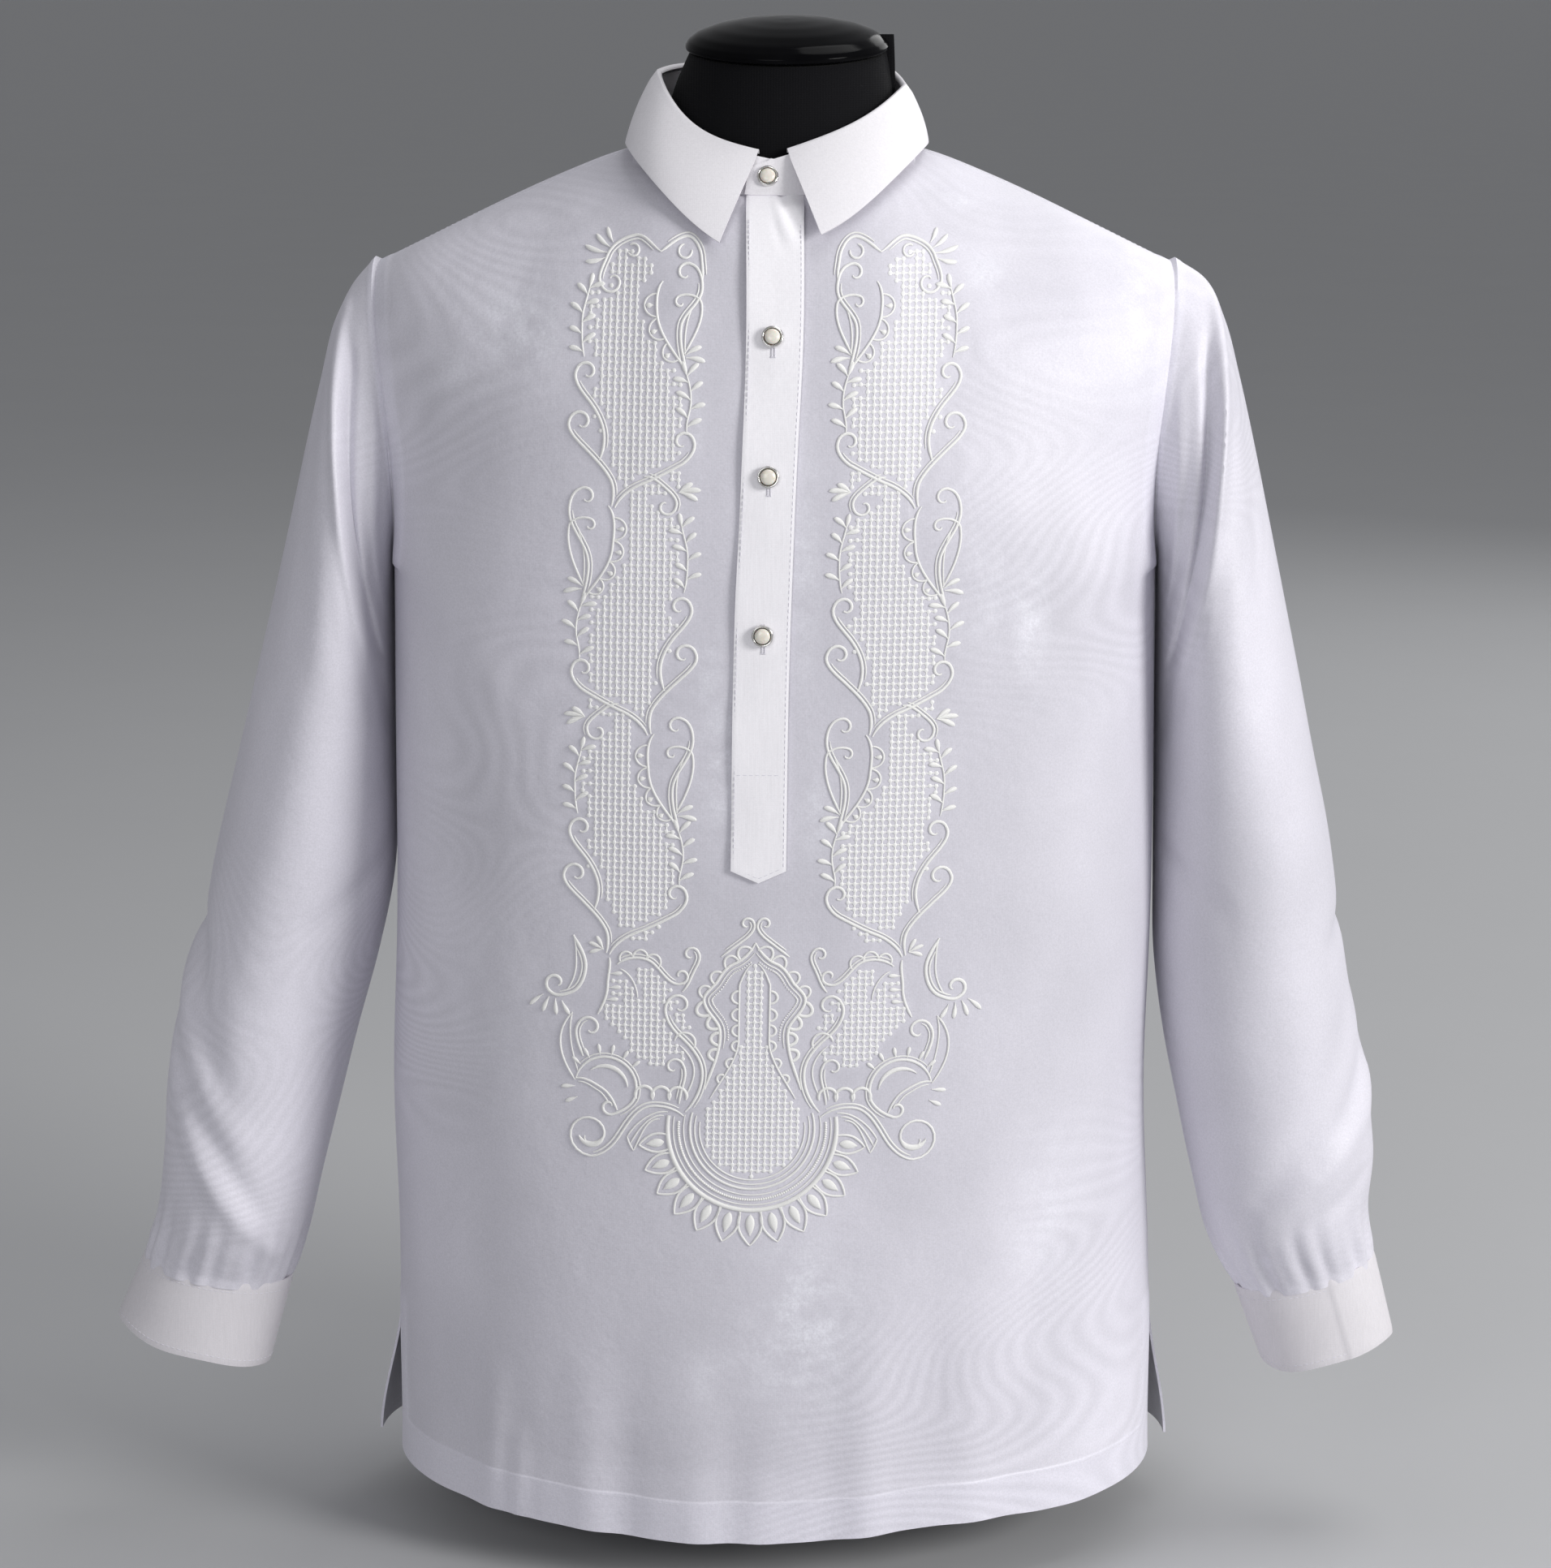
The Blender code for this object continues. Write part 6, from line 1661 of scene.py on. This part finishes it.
# ---------------------------------------------------------------- everything put together
CLOTH_COLOUR, CLOTH_SHADE = (0.775, 0.757, 0.83), (0.665, 0.652, 0.715)
body_mat = organza("organza_body", CLOTH_COLOUR, CLOTH_SHADE, field=True)
sleeve_mat = organza("organza_sleeve", CLOTH_COLOUR, CLOTH_SHADE)
band_mat = band_cloth("pressed_band", (0.85, 0.832, 0.865))
# the placket is the same pressed band cloth painted lighter: painted light for the strong light it gets
placket_lit_mat = band_cloth("pressed_placket_painted_light", (0.95, 0.935, 0.97))
# the cuffs are the same pressed band cloth painted darker: painted shade for the weaker light low down
cuff_shaded_mat = band_cloth("pressed_cuff_painted_shade", (0.715, 0.692, 0.722))
thread_mat = thread("ivory_thread", (0.96, 0.957, 0.93))
knot_mat = thread("lattice_thread", (0.955, 0.952, 0.94))
stitch_mat = thread("seam_thread", (0.76, 0.745, 0.81))
rim_mat, pearl_mat = metal("button_metal"), pearl("button_pearl")
cover_mat, cap_mat = knit_black("form_cover_knit"), gloss_black("form_cap_gloss")

SHEETS = []
front, front_sheet = build_panel(-1, "front_cloth", body_mat, 20, 50, 0.0036, 66)
back, back_sheet = build_panel(1, "back_cloth", sleeve_mat, 14, 40, 0.0050, 50)
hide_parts("front")
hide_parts("back")
pieces = [front, back]
for side, arm in ((-1, "right"), (1, "left")):
    sleeve = build_sleeve(side, "sleeve_%s_cloth" % arm, sleeve_mat)
    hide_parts("sleeve_" + arm)
    cuff = build_cuff(side, "cuff_%s_cloth" % arm, cuff_shaded_mat)
    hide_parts("cuff_" + arm)
    pieces += [sleeve, cuff]
    SHEETS.append((sleeve, (0.50, 0.60), None, "hung", ["front_cloth", "back_cloth"], []))
    SHEETS.append((cuff, (0.255, 0.052), None, "hung", [sleeve.name], []))
stand, tab, leaf = build_collar(band_mat)
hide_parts("collar_stand")
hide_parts("collar_leaf")
placket = build_placket(placket_lit_mat)
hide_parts("placket")
pieces += [stand, tab, leaf, placket]
seams, stitches = build_seams({-1: front_sheet, 1: back_sheet}, sleeve_mat, stitch_mat)
scrolls, lattice = build_embroidery(front_sheet, thread_mat, knot_mat)
buttons, bars = build_buttons(rim_mat, pearl_mat, stitch_mat)
for i in range(4):
    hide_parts("button_%d" % (i + 1))
    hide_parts("pearl_%d" % (i + 1))
cover = build_form(cover_mat)
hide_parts("form_torso")
fin = build_neck_fin(cover_mat)
cap = lathe("form_cap", smooth_profile(CAP_PROFILE, 7), 128, cap_mat, (CAP["x"], CAP["y"], CAP["z"]),
            (0.0, -math.sin(CAP["tilt"]), math.cos(CAP["tilt"])))
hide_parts("form_neck_cap")
pieces += [seams, stitches, scrolls, lattice, bars, cover, fin, cap] + buttons
for ob in pieces:
    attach(ob, "root")

SHEETS += [
    (front, (0.62, 0.80), None, "hung", ["form_cover"], [scrolls, lattice, stitches, seams]),
    (back, (0.60, 0.80), None, "hung", ["form_cover"], []),
    (stand, (0.46, 0.045), None, "stretched", ["front_cloth", "back_cloth"], [tab]),
    (leaf, (0.50, 0.055), None, "folded", ["collar_stand_cloth"], []),
    (placket, (0.031, 0.365), None, "hung", ["front_cloth"], [bars]),
]


def surface(ob):
    return sum(f.area for f in ob.data.polygons)


for ob, flat, area, held, rests, extra in SHEETS:
    print("SHEET", ob.name, "half surface %.4f" % (surface(ob) / 2), "flat", flat)

# ---------------------------------------------------------------- stage, light and camera
floor_mesh = bpy.data.meshes.new("floor")
R = 420.0
ring = [(R * math.cos(a), R * math.sin(a), 0.0) for a in np.linspace(0, 2 * math.pi, 65)[:-1]]
floor_mesh.from_pydata(ring, [], [list(range(64))])
floor_ob = bpy.data.objects.new("floor", floor_mesh)
floor_ob.data.materials.append(floor_paint("floor_paint"))
bpy.context.scene.collection.objects.link(floor_ob)

world = bpy.data.worlds.new("studio")
bpy.context.scene.world = world
world.use_nodes = True
world.node_tree.nodes["Background"].inputs[0].default_value = (0.96, 0.97, 1.0, 1.0)
world.node_tree.nodes["Background"].inputs[1].default_value = 0.295


def lamp(name, place, aim, size, power, colour=(1, 1, 1)):
    from mathutils import Vector
    data = bpy.data.lights.new(name, "AREA")
    data.shape, data.size, data.energy, data.color = "DISK", size, power, colour
    ob = bpy.data.objects.new(name, data)
    ob.location = place
    ob.rotation_euler = (Vector(aim) - Vector(place)).to_track_quat("-Z", "Y").to_euler()
    bpy.context.scene.collection.objects.link(ob)


lamp("key", (3.25, -2.0, 1.75), (0.05, 0, 0.45), 1.5, 108.0, (1.0, 0.99, 0.98))
lamp("fill", (-1.05, -3.4, 1.6), (-0.05, 0, 0.45), 1.8, 25.5, (0.97, 0.97, 1.0))
lamp("top", (0.9, 0.3, 2.8), (0.12, 0, 0.6), 1.5, 17.0)
lamp("back", (1.6, 2.9, 1.9), (0, 0, 0.45), 2.0, 19.0)

cam = bpy.data.cameras.new("camera")
cam.sensor_width = 36.0
cam.lens = 36.0 * 4450.0 / 1932.0
cam_ob = bpy.data.objects.new("camera", cam)
cam_ob.location = (0.03578, -2.04969, 0.8965)
cam_ob.rotation_euler = (math.radians(77.5), 0.0, math.radians(0.9871))
bpy.context.scene.collection.objects.link(cam_ob)
bpy.context.scene.camera = cam_ob
bpy.context.scene.view_settings.view_transform = "Standard"

print("TRIANGLES", {o.name: sum(len(f.vertices) - 2 for f in o.data.polygons) for o in pieces},
      sum(sum(len(f.vertices) - 2 for f in o.data.polygons) for o in pieces))
